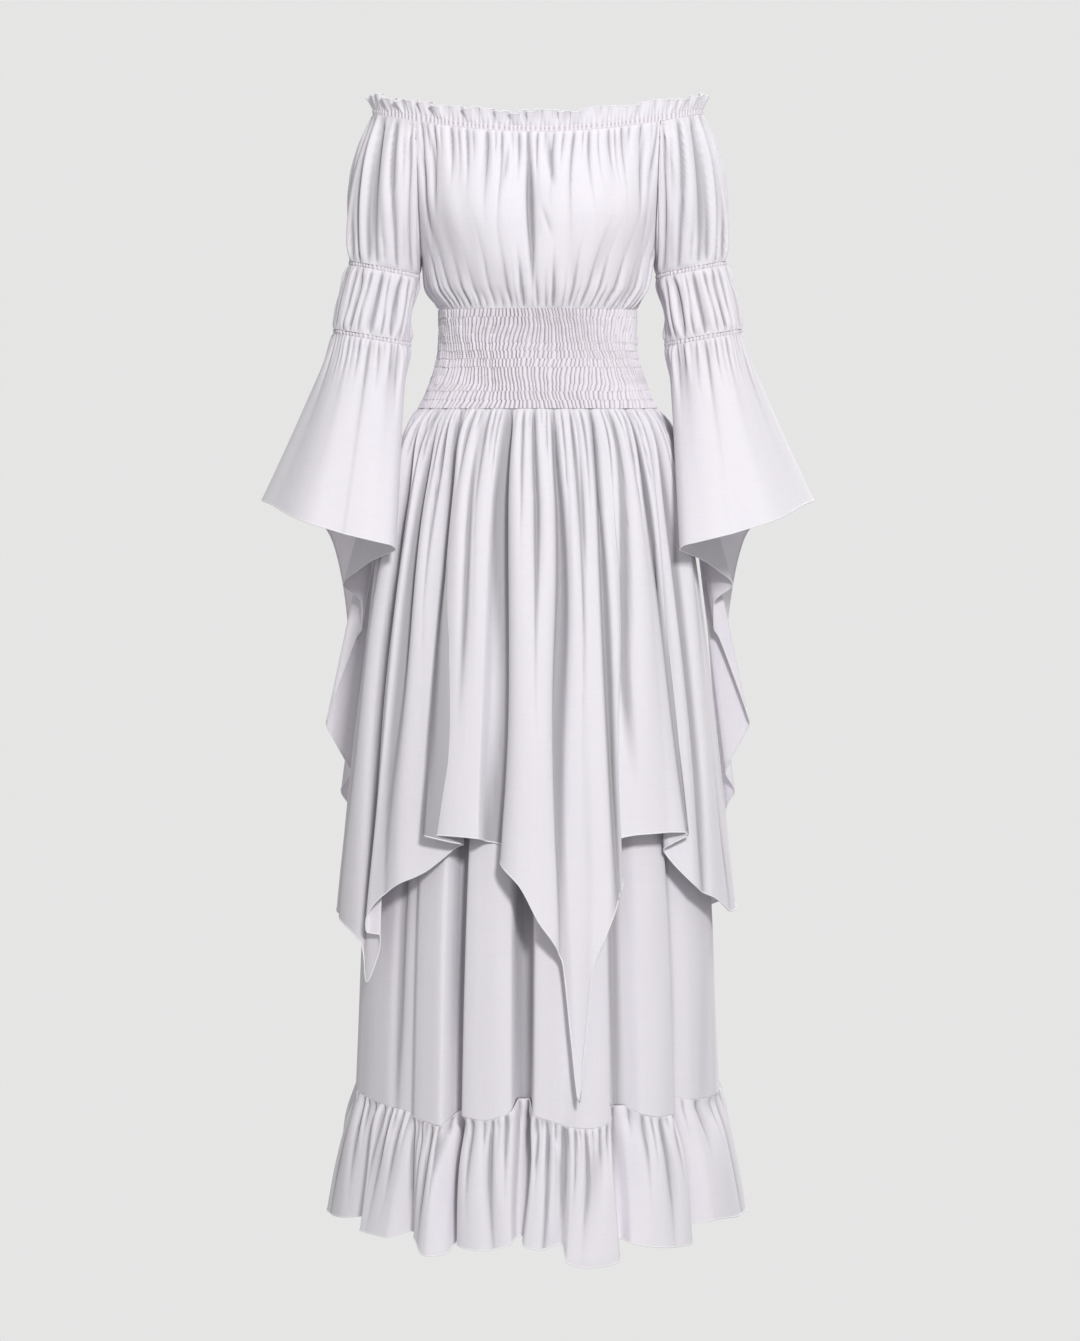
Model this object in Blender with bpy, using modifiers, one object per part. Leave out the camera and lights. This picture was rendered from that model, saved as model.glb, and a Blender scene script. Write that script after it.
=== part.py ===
"""Off-shoulder maxi dress as it hangs on a wearer, hollow inside.

Metres, +Z up. The origin is the centre of the smocked waist at its narrowest
ring, the front faces -Y, and +X is the wearer's left. Every piece of cloth is
an open sheet, worked out from rings round the body or the arm and from tables
of folds, and given its thickness by a Solidify modifier.
"""

import math
from collections import namedtuple

import bpy
import numpy as np

# Cloth and seams
CLOTH = 0.0012
SEAM_GAP = 0.0006
FRONT_SIDE = math.radians(90.0)
TURN = 2 * math.pi

# Heights of the seams
NECK_FRONT = 0.2355
NECK_SIDE_RISE = 0.026
NECK_BACK_RISE = 0.010
CASING_HEIGHT = 0.006
FRILL_HEIGHT = 0.0155
ARMPIT = 0.100
WAIST_TOP = 0.039
WAIST_BOTTOM = -0.073
FLOUNCE_GAP = 0.0010

# The seams between bodice and sleeves
RAGLAN_NECK = math.radians(48)  # round the neck from the centre front
RAGLAN_X = 0.1325  # from the middle, at the armpit
RAGLAN_GAP = 0.0021  # between the middles of the two cloths
RAGLAN_ROWS = 6
SIDE_SEAM_ROWS = 3

# The neck frill: how far it leans out, and its waves
FRILL_FLARE = 0.004
FRILL_WAVES = 36
FRILL_WAVE = 0.006
NECK_COLUMNS = 60

# The bodice: gathers along its two seams, the bust and the crease between
FRONT_GATHERS = 15
BACK_GATHERS = 12
NECK_GATHER = 0.0035
WAIST_GATHER = 0.0030
BUST_HEIGHT = 0.150
BUST_DEG = 36
BUST_REACH = 0.050
BUST_DEPTH = 0.012
CREASE_DEG = -2
CREASE_DEPTH = 0.008

# The sleeves: how far they puff out, as a share of their length, and their folds
UPPER_BULGE = 0.045
LOWER_BULGE = 0.03
PUFF_FOLDS = 8
PUFF_FOLD = 0.005
UPPER_ROWS = 6
LOWER_ROWS = 3
NECK_ARC_COLUMNS = 12
NECK_TURN = 12.0  # where round the arm the raglan seam meets the neck, in degrees
ELASTIC_COLUMNS = 20
PUFF_COLUMNS = 24
BELL_ROWS = 6
BELL_WAVES = 14
BELL_WAVE = 0.008
WIDE_TURN = 14  # degrees between two lines of the bell that get a third between them

# Smocking: ribs across a panel, rows, and how far it stands up
SMOCK_RIBS = 22
SMOCK_ROWS = 6
SMOCK_RISE = 0.0025
SMOCK_THICKNESS = CLOTH + SMOCK_RISE

# The skirts: how soon a fold opens below its seam, and the rows down each
SKIRT_OPENS = 0.55
FLOUNCE_OPENS = 0.8
FOLD_DRIFT = 1.4
OVERSKIRT_ROWS = 7
UNDERSKIRT_ROWS = 6
FLOUNCE_ROWS = 3
HEM_CLOSENESS = 2.0  # over 1 brings a sheet's rows closer together at its hem
WIDE_FOLD = 13.0  # degrees between two fold lines that get a third between them

# A ring of the torso or a skirt: half its width, and its depth in front and behind
Ring = namedtuple("Ring", "z half_width front back")

TORSO = (
    Ring(z=-0.073, half_width=0.1370, front=0.1080, back=0.1040),
    Ring(z=-0.058, half_width=0.1290, front=0.1020, back=0.0960),
    Ring(z=-0.032, half_width=0.1195, front=0.0930, back=0.0840),
    Ring(z=0.000, half_width=0.1130, front=0.0880, back=0.0770),
    Ring(z=0.039, half_width=0.1130, front=0.0940, back=0.0800),
    Ring(z=0.066, half_width=0.1275, front=0.1050, back=0.0850),
    Ring(z=0.100, half_width=0.1325, front=0.1130, back=0.0890),
    Ring(z=0.140, half_width=0.1420, front=0.1150, back=0.0920),
    Ring(z=0.180, half_width=0.1550, front=0.1110, back=0.0940),
    Ring(z=0.220, half_width=0.1720, front=0.1030, back=0.0950),
    Ring(z=0.245, half_width=0.1830, front=0.0990, back=0.0950),
    Ring(z=0.262, half_width=0.1885, front=0.0980, back=0.0950),
    Ring(z=0.290, half_width=0.1930, front=0.0990, back=0.0960),
)
OVERSKIRT = (
    Ring(z=-0.073, half_width=0.1370, front=0.1080, back=0.1040),
    Ring(z=-0.092, half_width=0.1485, front=0.1140, back=0.1110),
    Ring(z=-0.120, half_width=0.1580, front=0.1220, back=0.1200),
    Ring(z=-0.245, half_width=0.1820, front=0.1580, back=0.1580),
    Ring(z=-0.390, half_width=0.2010, front=0.1850, back=0.1880),
    Ring(z=-0.540, half_width=0.2180, front=0.2050, back=0.2080),
    Ring(z=-0.660, half_width=0.2310, front=0.2160, back=0.2200),
    Ring(z=-0.860, half_width=0.2430, front=0.2260, back=0.2300),
)
UNDERSKIRT = (
    Ring(z=-0.073, half_width=0.1348, front=0.1058, back=0.1018),
    Ring(z=-0.120, half_width=0.1480, front=0.1130, back=0.1110),
    Ring(z=-0.245, half_width=0.1630, front=0.1370, back=0.1370),
    Ring(z=-0.390, half_width=0.1770, front=0.1590, back=0.1620),
    Ring(z=-0.540, half_width=0.1920, front=0.1780, back=0.1810),
    Ring(z=-0.660, half_width=0.2015, front=0.1890, back=0.1930),
    Ring(z=-0.868, half_width=0.2100, front=0.1990, back=0.2030),
)
FLOUNCE = (
    Ring(z=-0.868, half_width=0.2100, front=0.1990, back=0.2030),
    Ring(z=-0.905, half_width=0.2215, front=0.2090, back=0.2130),
    Ring(z=-0.950, half_width=0.2305, front=0.2180, back=0.2220),
    Ring(z=-1.014, half_width=0.2400, front=0.2270, back=0.2310),
)

# A line of a fold, from the waist to the hem: its angle from the centre front at
# both ends, how far it stands out at the hem, and how far the hem drops there
Fold = namedtuple("Fold", "waist_deg hem_deg out_mm hem_mm")

OVERSKIRT_FOLDS = (
    Fold(waist_deg=-90, hem_deg=-90, out_mm=0, hem_mm=-648),
    Fold(waist_deg=-80, hem_deg=-79, out_mm=4, hem_mm=-652),
    Fold(waist_deg=-70, hem_deg=-68, out_mm=5, hem_mm=-658),
    Fold(waist_deg=-64, hem_deg=-58, out_mm=3, hem_mm=-676),
    Fold(waist_deg=-61, hem_deg=-55.5, out_mm=0, hem_mm=-721),
    Fold(waist_deg=-59, hem_deg=-51.8, out_mm=-5, hem_mm=-684),
    Fold(waist_deg=-57.2, hem_deg=-50, out_mm=0, hem_mm=-664),
    Fold(waist_deg=-54.9, hem_deg=-53.4, out_mm=8.5, hem_mm=-662),
    Fold(waist_deg=-53.2, hem_deg=-52.4, out_mm=13, hem_mm=-642),
    Fold(waist_deg=-48, hem_deg=-44, out_mm=9, hem_mm=-607),
    Fold(waist_deg=-41, hem_deg=-35, out_mm=-5, hem_mm=-588),
    Fold(waist_deg=-37.6, hem_deg=-25.6, out_mm=-9, hem_mm=-558),
    Fold(waist_deg=-36.4, hem_deg=-24.8, out_mm=-5, hem_mm=-555),
    Fold(waist_deg=-34.6, hem_deg=-34.8, out_mm=5.5, hem_mm=-546),
    Fold(waist_deg=-33.4, hem_deg=-34, out_mm=9.5, hem_mm=-545),
    Fold(waist_deg=-27, hem_deg=-26, out_mm=14, hem_mm=-544),
    Fold(waist_deg=-18, hem_deg=-17, out_mm=10, hem_mm=-546),
    Fold(waist_deg=-14.5, hem_deg=-14, out_mm=-7, hem_mm=-552),
    Fold(waist_deg=-10.5, hem_deg=-10.5, out_mm=9, hem_mm=-572),
    Fold(waist_deg=-6, hem_deg=-5.2, out_mm=15, hem_mm=-594),
    Fold(waist_deg=-1, hem_deg=0, out_mm=12, hem_mm=-636),
    Fold(waist_deg=4, hem_deg=4, out_mm=8, hem_mm=-660),
    Fold(waist_deg=8.5, hem_deg=6.6, out_mm=3, hem_mm=-680),
    Fold(waist_deg=11, hem_deg=8.8, out_mm=5, hem_mm=-770),
    Fold(waist_deg=12.5, hem_deg=10.6, out_mm=7, hem_mm=-838),
    Fold(waist_deg=14, hem_deg=12.2, out_mm=9, hem_mm=-770),
    Fold(waist_deg=17, hem_deg=14.5, out_mm=13, hem_mm=-688),
    Fold(waist_deg=21, hem_deg=18.5, out_mm=15, hem_mm=-648),
    Fold(waist_deg=26, hem_deg=23.2, out_mm=12, hem_mm=-608),
    Fold(waist_deg=27.2, hem_deg=24, out_mm=8, hem_mm=-596),
    Fold(waist_deg=29.6, hem_deg=22.2, out_mm=-4, hem_mm=-560),
    Fold(waist_deg=30.8, hem_deg=22.8, out_mm=-8, hem_mm=-553),
    Fold(waist_deg=35, hem_deg=31, out_mm=1, hem_mm=-545),
    Fold(waist_deg=41, hem_deg=39.5, out_mm=2, hem_mm=-545),
    Fold(waist_deg=47.6, hem_deg=48, out_mm=13, hem_mm=-547),
    Fold(waist_deg=48.8, hem_deg=48.8, out_mm=8.5, hem_mm=-549),
    Fold(waist_deg=51.4, hem_deg=42.6, out_mm=-8, hem_mm=-564),
    Fold(waist_deg=52.6, hem_deg=43.4, out_mm=-12.5, hem_mm=-570),
    Fold(waist_deg=58, hem_deg=51, out_mm=3, hem_mm=-608),
    Fold(waist_deg=67, hem_deg=61, out_mm=5, hem_mm=-628),
    Fold(waist_deg=78, hem_deg=74, out_mm=4, hem_mm=-648),
    Fold(waist_deg=90, hem_deg=90, out_mm=0, hem_mm=-648),
)
UNDERSKIRT_FOLDS = (
    Fold(waist_deg=-90, hem_deg=-90, out_mm=0, hem_mm=-858),
    Fold(waist_deg=-79, hem_deg=-80, out_mm=4, hem_mm=-858),
    Fold(waist_deg=-69, hem_deg=-70, out_mm=5, hem_mm=-860),
    Fold(waist_deg=-59, hem_deg=-60, out_mm=3, hem_mm=-862),
    Fold(waist_deg=-54, hem_deg=-55, out_mm=2, hem_mm=-863),
    Fold(waist_deg=-45, hem_deg=-44, out_mm=-4, hem_mm=-866),
    Fold(waist_deg=-41, hem_deg=-40, out_mm=6, hem_mm=-868),
    Fold(waist_deg=-36, hem_deg=-35, out_mm=8, hem_mm=-871),
    Fold(waist_deg=-31, hem_deg=-30, out_mm=10, hem_mm=-873),
    Fold(waist_deg=-28, hem_deg=-27, out_mm=-13, hem_mm=-860),
    Fold(waist_deg=-26, hem_deg=-25, out_mm=-14, hem_mm=-858),
    Fold(waist_deg=-22, hem_deg=-22.5, out_mm=8, hem_mm=-860),
    Fold(waist_deg=-15, hem_deg=-15.5, out_mm=12, hem_mm=-862),
    Fold(waist_deg=-9, hem_deg=-8, out_mm=7, hem_mm=-852),
    Fold(waist_deg=-6, hem_deg=-6.2, out_mm=-17, hem_mm=-842),
    Fold(waist_deg=-3, hem_deg=-3, out_mm=-18, hem_mm=-842),
    Fold(waist_deg=0, hem_deg=-1, out_mm=7, hem_mm=-856),
    Fold(waist_deg=4, hem_deg=3, out_mm=9, hem_mm=-861),
    Fold(waist_deg=7.5, hem_deg=7, out_mm=12, hem_mm=-866),
    Fold(waist_deg=11, hem_deg=10, out_mm=13, hem_mm=-869),
    Fold(waist_deg=15, hem_deg=15, out_mm=13, hem_mm=-871),
    Fold(waist_deg=21, hem_deg=21.5, out_mm=9, hem_mm=-866),
    Fold(waist_deg=24, hem_deg=24.5, out_mm=-9, hem_mm=-852),
    Fold(waist_deg=27.5, hem_deg=28, out_mm=-8, hem_mm=-852),
    Fold(waist_deg=33, hem_deg=33, out_mm=6, hem_mm=-862),
    Fold(waist_deg=40, hem_deg=40, out_mm=9, hem_mm=-867),
    Fold(waist_deg=45, hem_deg=46, out_mm=6, hem_mm=-866),
    Fold(waist_deg=49, hem_deg=49.5, out_mm=-9, hem_mm=-852),
    Fold(waist_deg=57, hem_deg=57, out_mm=-1, hem_mm=-858),
    Fold(waist_deg=71, hem_deg=71, out_mm=5, hem_mm=-861),
    Fold(waist_deg=90, hem_deg=90, out_mm=0, hem_mm=-858),
)
FLOUNCE_FOLDS = (
    Fold(waist_deg=-90, hem_deg=-90, out_mm=0, hem_mm=-1004),
    Fold(waist_deg=-80, hem_deg=-80, out_mm=9, hem_mm=-1004),
    Fold(waist_deg=-70, hem_deg=-69, out_mm=6, hem_mm=-1000),
    Fold(waist_deg=-60, hem_deg=-58, out_mm=-11, hem_mm=-992),
    Fold(waist_deg=-55, hem_deg=-55.5, out_mm=8, hem_mm=-1004),
    Fold(waist_deg=-44, hem_deg=-45, out_mm=6, hem_mm=-1004),
    Fold(waist_deg=-40, hem_deg=-38.5, out_mm=-9, hem_mm=-996),
    Fold(waist_deg=-35, hem_deg=-35, out_mm=6, hem_mm=-1000),
    Fold(waist_deg=-30, hem_deg=-30, out_mm=13, hem_mm=-1014),
    Fold(waist_deg=-27, hem_deg=-25.5, out_mm=3, hem_mm=-1013),
    Fold(waist_deg=-25, hem_deg=-23, out_mm=-13, hem_mm=-998),
    Fold(waist_deg=-22.5, hem_deg=-21.7, out_mm=3, hem_mm=-1001),
    Fold(waist_deg=-15.5, hem_deg=-14.5, out_mm=11, hem_mm=-1003),
    Fold(waist_deg=-8, hem_deg=-7, out_mm=4, hem_mm=-996),
    Fold(waist_deg=-6.2, hem_deg=-5.8, out_mm=-12, hem_mm=-991),
    Fold(waist_deg=-3, hem_deg=-4.6, out_mm=-13, hem_mm=-991),
    Fold(waist_deg=-1, hem_deg=-3.6, out_mm=4, hem_mm=-998),
    Fold(waist_deg=3, hem_deg=1, out_mm=8, hem_mm=-1001),
    Fold(waist_deg=7, hem_deg=6, out_mm=0, hem_mm=-997),
    Fold(waist_deg=10, hem_deg=7.2, out_mm=12, hem_mm=-1014),
    Fold(waist_deg=15, hem_deg=13.5, out_mm=16, hem_mm=-1021),
    Fold(waist_deg=21.5, hem_deg=21.5, out_mm=10, hem_mm=-1018),
    Fold(waist_deg=24.5, hem_deg=24, out_mm=-13, hem_mm=-998),
    Fold(waist_deg=28, hem_deg=25.5, out_mm=3, hem_mm=-1000),
    Fold(waist_deg=33, hem_deg=32, out_mm=11, hem_mm=-1006),
    Fold(waist_deg=40, hem_deg=39, out_mm=10, hem_mm=-1010),
    Fold(waist_deg=46, hem_deg=45.5, out_mm=5, hem_mm=-1011),
    Fold(waist_deg=49.5, hem_deg=48.5, out_mm=-12, hem_mm=-996),
    Fold(waist_deg=57, hem_deg=56, out_mm=4, hem_mm=-993),
    Fold(waist_deg=71, hem_deg=71, out_mm=8, hem_mm=-1000),
    Fold(waist_deg=90, hem_deg=90, out_mm=0, hem_mm=-1004),
)

# A ring of the left sleeve, square to the arm: its centre, half its width from
# the body outwards, half its depth, and how far its outer end is tipped up
ArmRing = namedtuple("ArmRing", "x y z across deep tip_deg")

ARM_ELASTIC = ArmRing(x=0.1762, y=0.002, z=0.0850, across=0.0407, deep=0.0440, tip_deg=11)
ELBOW_ELASTIC = ArmRing(x=0.1900, y=-0.010, z=0.0075, across=0.0445, deep=0.0450, tip_deg=10)
ELASTIC_HEIGHT = 0.005

# The hem of the left bell: the turn round the elbow that each line of cloth hangs
# from (0 front, 90 away from the body, 180 back), and where it ends
Hem = namedtuple("Hem", "turn_deg x y z flare")

BELL_HEM = (
    Hem(turn_deg=0, x=0.219, y=-0.128, z=-0.212, flare=1.0),
    Hem(turn_deg=22, x=0.249, y=-0.122, z=-0.203, flare=1.05),
    Hem(turn_deg=45, x=0.282, y=-0.095, z=-0.192, flare=1.1),
    Hem(turn_deg=70, x=0.307, y=-0.052, z=-0.182, flare=1.15),
    Hem(turn_deg=92, x=0.3145, y=-0.005, z=-0.178, flare=1.15),
    Hem(turn_deg=118, x=0.304, y=0.042, z=-0.181, flare=1.15),
    Hem(turn_deg=145, x=0.277, y=0.084, z=-0.190, flare=1.1),
    Hem(turn_deg=168, x=0.248, y=0.112, z=-0.222, flare=1.0),
    Hem(turn_deg=183, x=0.23, y=0.13, z=-0.3, flare=1.0),
    Hem(turn_deg=194, x=0.222, y=0.142, z=-0.44, flare=1.0),
    Hem(turn_deg=203, x=0.222, y=0.134, z=-0.572, flare=1.0),
    Hem(turn_deg=212, x=0.2265, y=0.1130, z=-0.546, flare=1.0),
    Hem(turn_deg=220, x=0.2345, y=0.1010, z=-0.528, flare=1.0),
    Hem(turn_deg=226, x=0.2225, y=0.089, z=-0.506, flare=1.0),
    Hem(turn_deg=230, x=0.222, y=0.0815, z=-0.502, flare=1.0),
    Hem(turn_deg=236, x=0.2495, y=0.070, z=-0.446, flare=1.0),
    Hem(turn_deg=241, x=0.2485, y=0.062, z=-0.438, flare=1.0),
    Hem(turn_deg=246, x=0.2120, y=0.046, z=-0.340, flare=1.0),
    Hem(turn_deg=250, x=0.2060, y=0.038, z=-0.330, flare=1.0),
    Hem(turn_deg=255, x=0.205, y=0.027, z=-0.3, flare=1.0),
    Hem(turn_deg=262, x=0.226, y=0.014, z=-0.278, flare=1.0),
    Hem(turn_deg=271, x=0.207, y=-0.012, z=-0.259, flare=1.0),
    Hem(turn_deg=280, x=0.189, y=-0.048, z=-0.246, flare=1.0),
    Hem(turn_deg=292, x=0.16, y=-0.104, z=-0.231, flare=1.0),
    Hem(turn_deg=306, x=0.164, y=-0.118, z=-0.226, flare=1.0),
    Hem(turn_deg=324, x=0.178, y=-0.126, z=-0.222, flare=1.0),
    Hem(turn_deg=342, x=0.198, y=-0.13, z=-0.217, flare=1.0),
)

COLOURS = {
    "cloth": (0.78, 0.76, 0.80, 1.0),
    "shirring": (0.76, 0.73, 0.78, 1.0),
}


def smooth(xs, ys, at):
    """Monotone cubic through the points (xs, ys), read at the values in at."""
    xs, ys = np.asarray(xs, float), np.asarray(ys, float)
    step = np.diff(xs)
    rise = np.diff(ys) / step
    slope = np.zeros(len(xs))
    slope[0], slope[-1] = rise[0], rise[-1]
    same_way = rise[:-1] * rise[1:] > 0
    both = np.where(same_way, rise[:-1] + rise[1:], 1.0)
    slope[1:-1] = np.where(same_way, 2 * rise[:-1] * rise[1:] / both, 0.0)
    at = np.clip(at, xs[0], xs[-1])
    i = np.clip(np.searchsorted(xs, at) - 1, 0, len(step) - 1)
    t = (at - xs[i]) / step[i]
    return (
        ys[i] * (1 + 2 * t) * (1 - t) ** 2
        + ys[i + 1] * t**2 * (3 - 2 * t)
        + step[i] * t * (1 - t) * (slope[i] * (1 - t) - slope[i + 1] * t)
    )


def column(table, name):
    return [getattr(row, name) for row in table]


def read(rings, name, z):
    """A column of a table of rings, read at the heights z."""
    order = sorted(rings, key=lambda ring: ring.z)
    return smooth(column(order, "z"), column(order, name), z)


def on_ring(rings, angle, z, out=0.0):
    """Points at these angles from the centre front, heights and distances out."""
    depth = np.where(np.cos(angle) > 0, read(rings, "front", z), read(rings, "back", z))
    x = (read(rings, "half_width", z) + out) * np.sin(angle)
    y = -(depth + out) * np.cos(angle)
    return np.stack(np.broadcast_arrays(x, y, z), axis=-1)


def neck_height(angle):
    """Height of the cloth's top edge, where the casing is sewn on."""
    back = np.where(np.cos(angle) < 0, NECK_BACK_RISE * np.cos(angle) ** 2, 0.0)
    return NECK_FRONT + NECK_SIDE_RISE * np.sin(angle) ** 2 + back


def raglan_angle(z):
    """Angle from the centre front of the seam between bodice and sleeve."""
    share = np.clip((z - ARMPIT) / (neck_height(RAGLAN_NECK) - ARMPIT), 0, 1)
    seam_x = RAGLAN_X + share * (RAGLAN_EDGE_X - RAGLAN_X)
    sine = np.clip(seam_x / read(TORSO, "half_width", z), -1, 1)
    return np.where(z <= ARMPIT, FRONT_SIDE, np.arcsin(sine))


RAGLAN_EDGE_X = float(
    read(TORSO, "half_width", neck_height(RAGLAN_NECK)) * math.sin(RAGLAN_NECK)
)


def gathers(position, count, seed, depth):
    """Uneven gathers along an edge: position runs from 0 to 1, crests are at 1."""
    rng = np.random.default_rng(seed)
    bends = np.linspace(0, 1, count + 1)
    bends[1:-1] += rng.uniform(-0.22, 0.22, count - 1) / count
    phase = np.interp(position, bends, np.arange(count + 1))
    heights = rng.uniform(0.65, 1.0, count)
    height = heights[np.clip(phase.astype(int), 0, count - 1)]
    return depth * height * np.sin(math.pi * (phase % 1)) ** 2


def skirt_fold(folds, name, waist_deg):
    return smooth(column(folds, "waist_deg"), column(folds, name), waist_deg)


def as_object(name, points, colour, closed=False, outer=None):
    """A sheet through rows of points, made a wall by Solidify.

    With outer, a share of the thickness for each point, the wall grows outwards
    from a plain inside. Otherwise the points are the middle of the wall.
    """
    rows, columns = points.shape[:2]
    wrap = columns if closed else columns - 1
    faces = [
        (
            r * columns + c,
            r * columns + (c + 1) % columns,
            (r + 1) * columns + (c + 1) % columns,
            (r + 1) * columns + c,
        )
        for r in range(rows - 1)
        for c in range(wrap)
    ]
    mesh = bpy.data.meshes.new(name)
    mesh.from_pydata(points.reshape(-1, 3).tolist(), [], faces)
    mesh.shade_smooth()
    piece = bpy.data.objects.new(name, mesh)
    DRESS.objects.link(piece)
    mesh.materials.append(material(colour))
    wall = piece.modifiers.new("Wall", "SOLIDIFY")
    wall.thickness = CLOTH
    wall.offset = 0.0
    if outer is not None:
        group = piece.vertex_groups.new(name="raised")
        for index, share in enumerate(outer.reshape(-1)):
            group.add([index], float(share), "REPLACE")
        wall.vertex_group = "raised"
        wall.thickness = SMOCK_THICKNESS
        wall.offset = 1.0
    return piece


def material(name):
    found = bpy.data.materials.get(name)
    if found:
        return found
    made = bpy.data.materials.new(name)
    made.use_nodes = True
    shader = made.node_tree.nodes["Principled BSDF"]
    shader.inputs["Base Color"].default_value = COLOURS[name]
    shader.inputs["Roughness"].default_value = 0.75
    shader.inputs["Metallic"].default_value = 0.0
    return made


def mirrored(points):
    """The same sheet on the other side of the body, facing out again."""
    other = points[:, ::-1].copy()
    other[..., 0] *= -1
    return other


def seam_gap_share(radius):
    """How much a panel gives way on each side, as a share of a quarter turn."""
    return SEAM_GAP / 2 / (radius * FRONT_SIDE)


BODICE_BOTTOM = WAIST_TOP + SEAM_GAP
RAGLAN_TOP = float(neck_height(RAGLAN_NECK)) - SEAM_GAP


def seam_rows():
    """Shares of the bodice's height where its rows lie, one of them at the armpit."""
    armpit = (ARMPIT - BODICE_BOTTOM) / (RAGLAN_TOP - BODICE_BOTTOM)
    above = np.linspace(armpit, 1, RAGLAN_ROWS + 1)[1:]
    return np.concatenate([np.linspace(0, armpit, SIDE_SEAM_ROWS + 1), above])


def closing_rows(count):
    """Shares of a length that lie closer together towards the hem."""
    return 1 - (1 - np.linspace(0, 1, count + 1)) ** HEM_CLOSENESS


def bump(at, middle, width):
    return np.exp(-(((at - middle) / width) ** 2))


def bodice(name, back, neck_gathers, seed):
    """One panel of the bodice, from the waist seam to the casing."""
    columns = 2 * neck_gathers
    position = np.linspace(0, 1, columns + 1)
    across = (2 * position - 1) * (1 - seam_gap_share(TORSO[4].half_width))
    turned = math.pi if back else 0.0
    share = seam_rows()[:, None]
    top = neck_height(across * RAGLAN_NECK + turned) - SEAM_GAP
    z = BODICE_BOTTOM + share * (top - BODICE_BOTTOM)
    angle = across * raglan_angle(z)
    edge = np.minimum(1, 12 * (1 - position) * position)
    from_neck = gathers(position, neck_gathers, seed, NECK_GATHER) * share**4
    from_waist = gathers(position, neck_gathers, seed + 1, WAIST_GATHER) * (1 - share) ** 2
    out = (from_neck + from_waist) * edge
    if not back:
        height = bump(z, BUST_HEIGHT, BUST_REACH)
        bust = bump(np.abs(angle), math.radians(BUST_DEG), 0.42) * BUST_DEPTH
        crease = bump(angle, math.radians(CREASE_DEG), 0.07) * CREASE_DEPTH
        out = out + height * (bust - crease) * edge
    return as_object(name, on_ring(TORSO, angle + turned, z, out), "cloth")


def neck_band(name, bottom, height, columns, flare, waves, colour):
    """A closed band round the neck, with waves that grow towards its top."""
    position = np.arange(columns) / columns
    angle = position * TURN
    share = np.array([[0.0], [1.0]])
    z = neck_height(angle) + bottom + share * height
    out = share * flare
    if waves:
        rise = gathers(position, waves, 11, FRILL_WAVE) - FRILL_WAVE / 2
        out = out + (0.35 + 0.65 * share) * rise
    base = on_ring(TORSO, angle, neck_height(angle) + np.zeros_like(share), out)
    base[..., 2] = z
    return as_object(name, base, colour, closed=True)


def arm_ring(ring, turn, rise=0.0, grow=0.0):
    """Points round the sleeve: 0 is the front and a quarter turn is away from the body."""
    tip = math.radians(ring.tip_deg)
    out = (ring.across + grow) * np.sin(turn)
    x = ring.x + out * math.cos(tip)
    y = ring.y - (ring.deep + grow) * np.cos(turn)
    z = ring.z + out * math.sin(tip) + rise
    return np.stack(np.broadcast_arrays(x, y, z), axis=-1)


def both_sleeves(name, points, colour="cloth"):
    """The wearer's left sleeve as given, and the right one mirrored."""
    as_object(name + "_left", points, colour, closed=True)
    as_object(name + "_right", mirrored(points), colour, closed=True)


def loft(upper, lower, turn, rows, bulge, folds, seed):
    """Cloth from one loop to another, puffed away from the arm and gathered."""
    share = np.linspace(0, 1, rows + 1)[:, None, None]
    line = upper + (lower - upper) * share
    length = np.linalg.norm(lower - upper, axis=1)[None, :, None]
    away = np.stack([np.sin(turn), -np.cos(turn), np.zeros_like(turn)], axis=-1)
    free = np.clip(0.55 + 0.6 * np.sin(turn), 0.05, 1)[:, None]
    middle = np.sin(math.pi * share)
    position = (turn - turn[0]) / TURN
    fold = gathers(position, folds, seed, PUFF_FOLD)[:, None] * (0.3 + 0.7 * middle)
    return line + away * free * (bulge * length * middle + fold)


def upper_sleeves():
    """From the raglan seams and the neck casing down to the upper arm elastic."""
    edge_z = BODICE_BOTTOM + seam_rows()[SIDE_SEAM_ROWS:] * (RAGLAN_TOP - BODICE_BOTTOM)
    seam = raglan_angle(edge_z)
    arc = np.linspace(RAGLAN_NECK, math.pi - RAGLAN_NECK, NECK_ARC_COLUMNS + 1)[1:-1]
    front = on_ring(TORSO, seam, edge_z)
    back = on_ring(TORSO, math.pi - seam, edge_z)[::-1][:-1]
    for edge in (front, back):
        edge[:, 0] += RAGLAN_GAP
    neck = on_ring(TORSO, arc, neck_height(arc) - SEAM_GAP)
    loop = np.concatenate([front, neck, back])
    seam_turns = np.linspace(-90, NECK_TURN, len(front))
    neck_turns = np.linspace(NECK_TURN, 180 - NECK_TURN, NECK_ARC_COLUMNS + 1)[1:-1]
    turn = np.radians(np.concatenate([seam_turns, neck_turns, 180 - seam_turns[::-1][:-1]]))
    rise = ELASTIC_HEIGHT / 2 + SEAM_GAP
    cuff = arm_ring(ARM_ELASTIC, turn, rise)
    both_sleeves("upper_sleeve", loft(loop, cuff, turn, UPPER_ROWS, UPPER_BULGE, PUFF_FOLDS, 21))


def elastics():
    turn = np.arange(ELASTIC_COLUMNS) / ELASTIC_COLUMNS * TURN
    for name, ring in (("arm_elastic", ARM_ELASTIC), ("elbow_elastic", ELBOW_ELASTIC)):
        half = ELASTIC_HEIGHT / 2
        band = np.stack([arm_ring(ring, turn, half), arm_ring(ring, turn, -half)])
        both_sleeves(name, band, "shirring")


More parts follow.
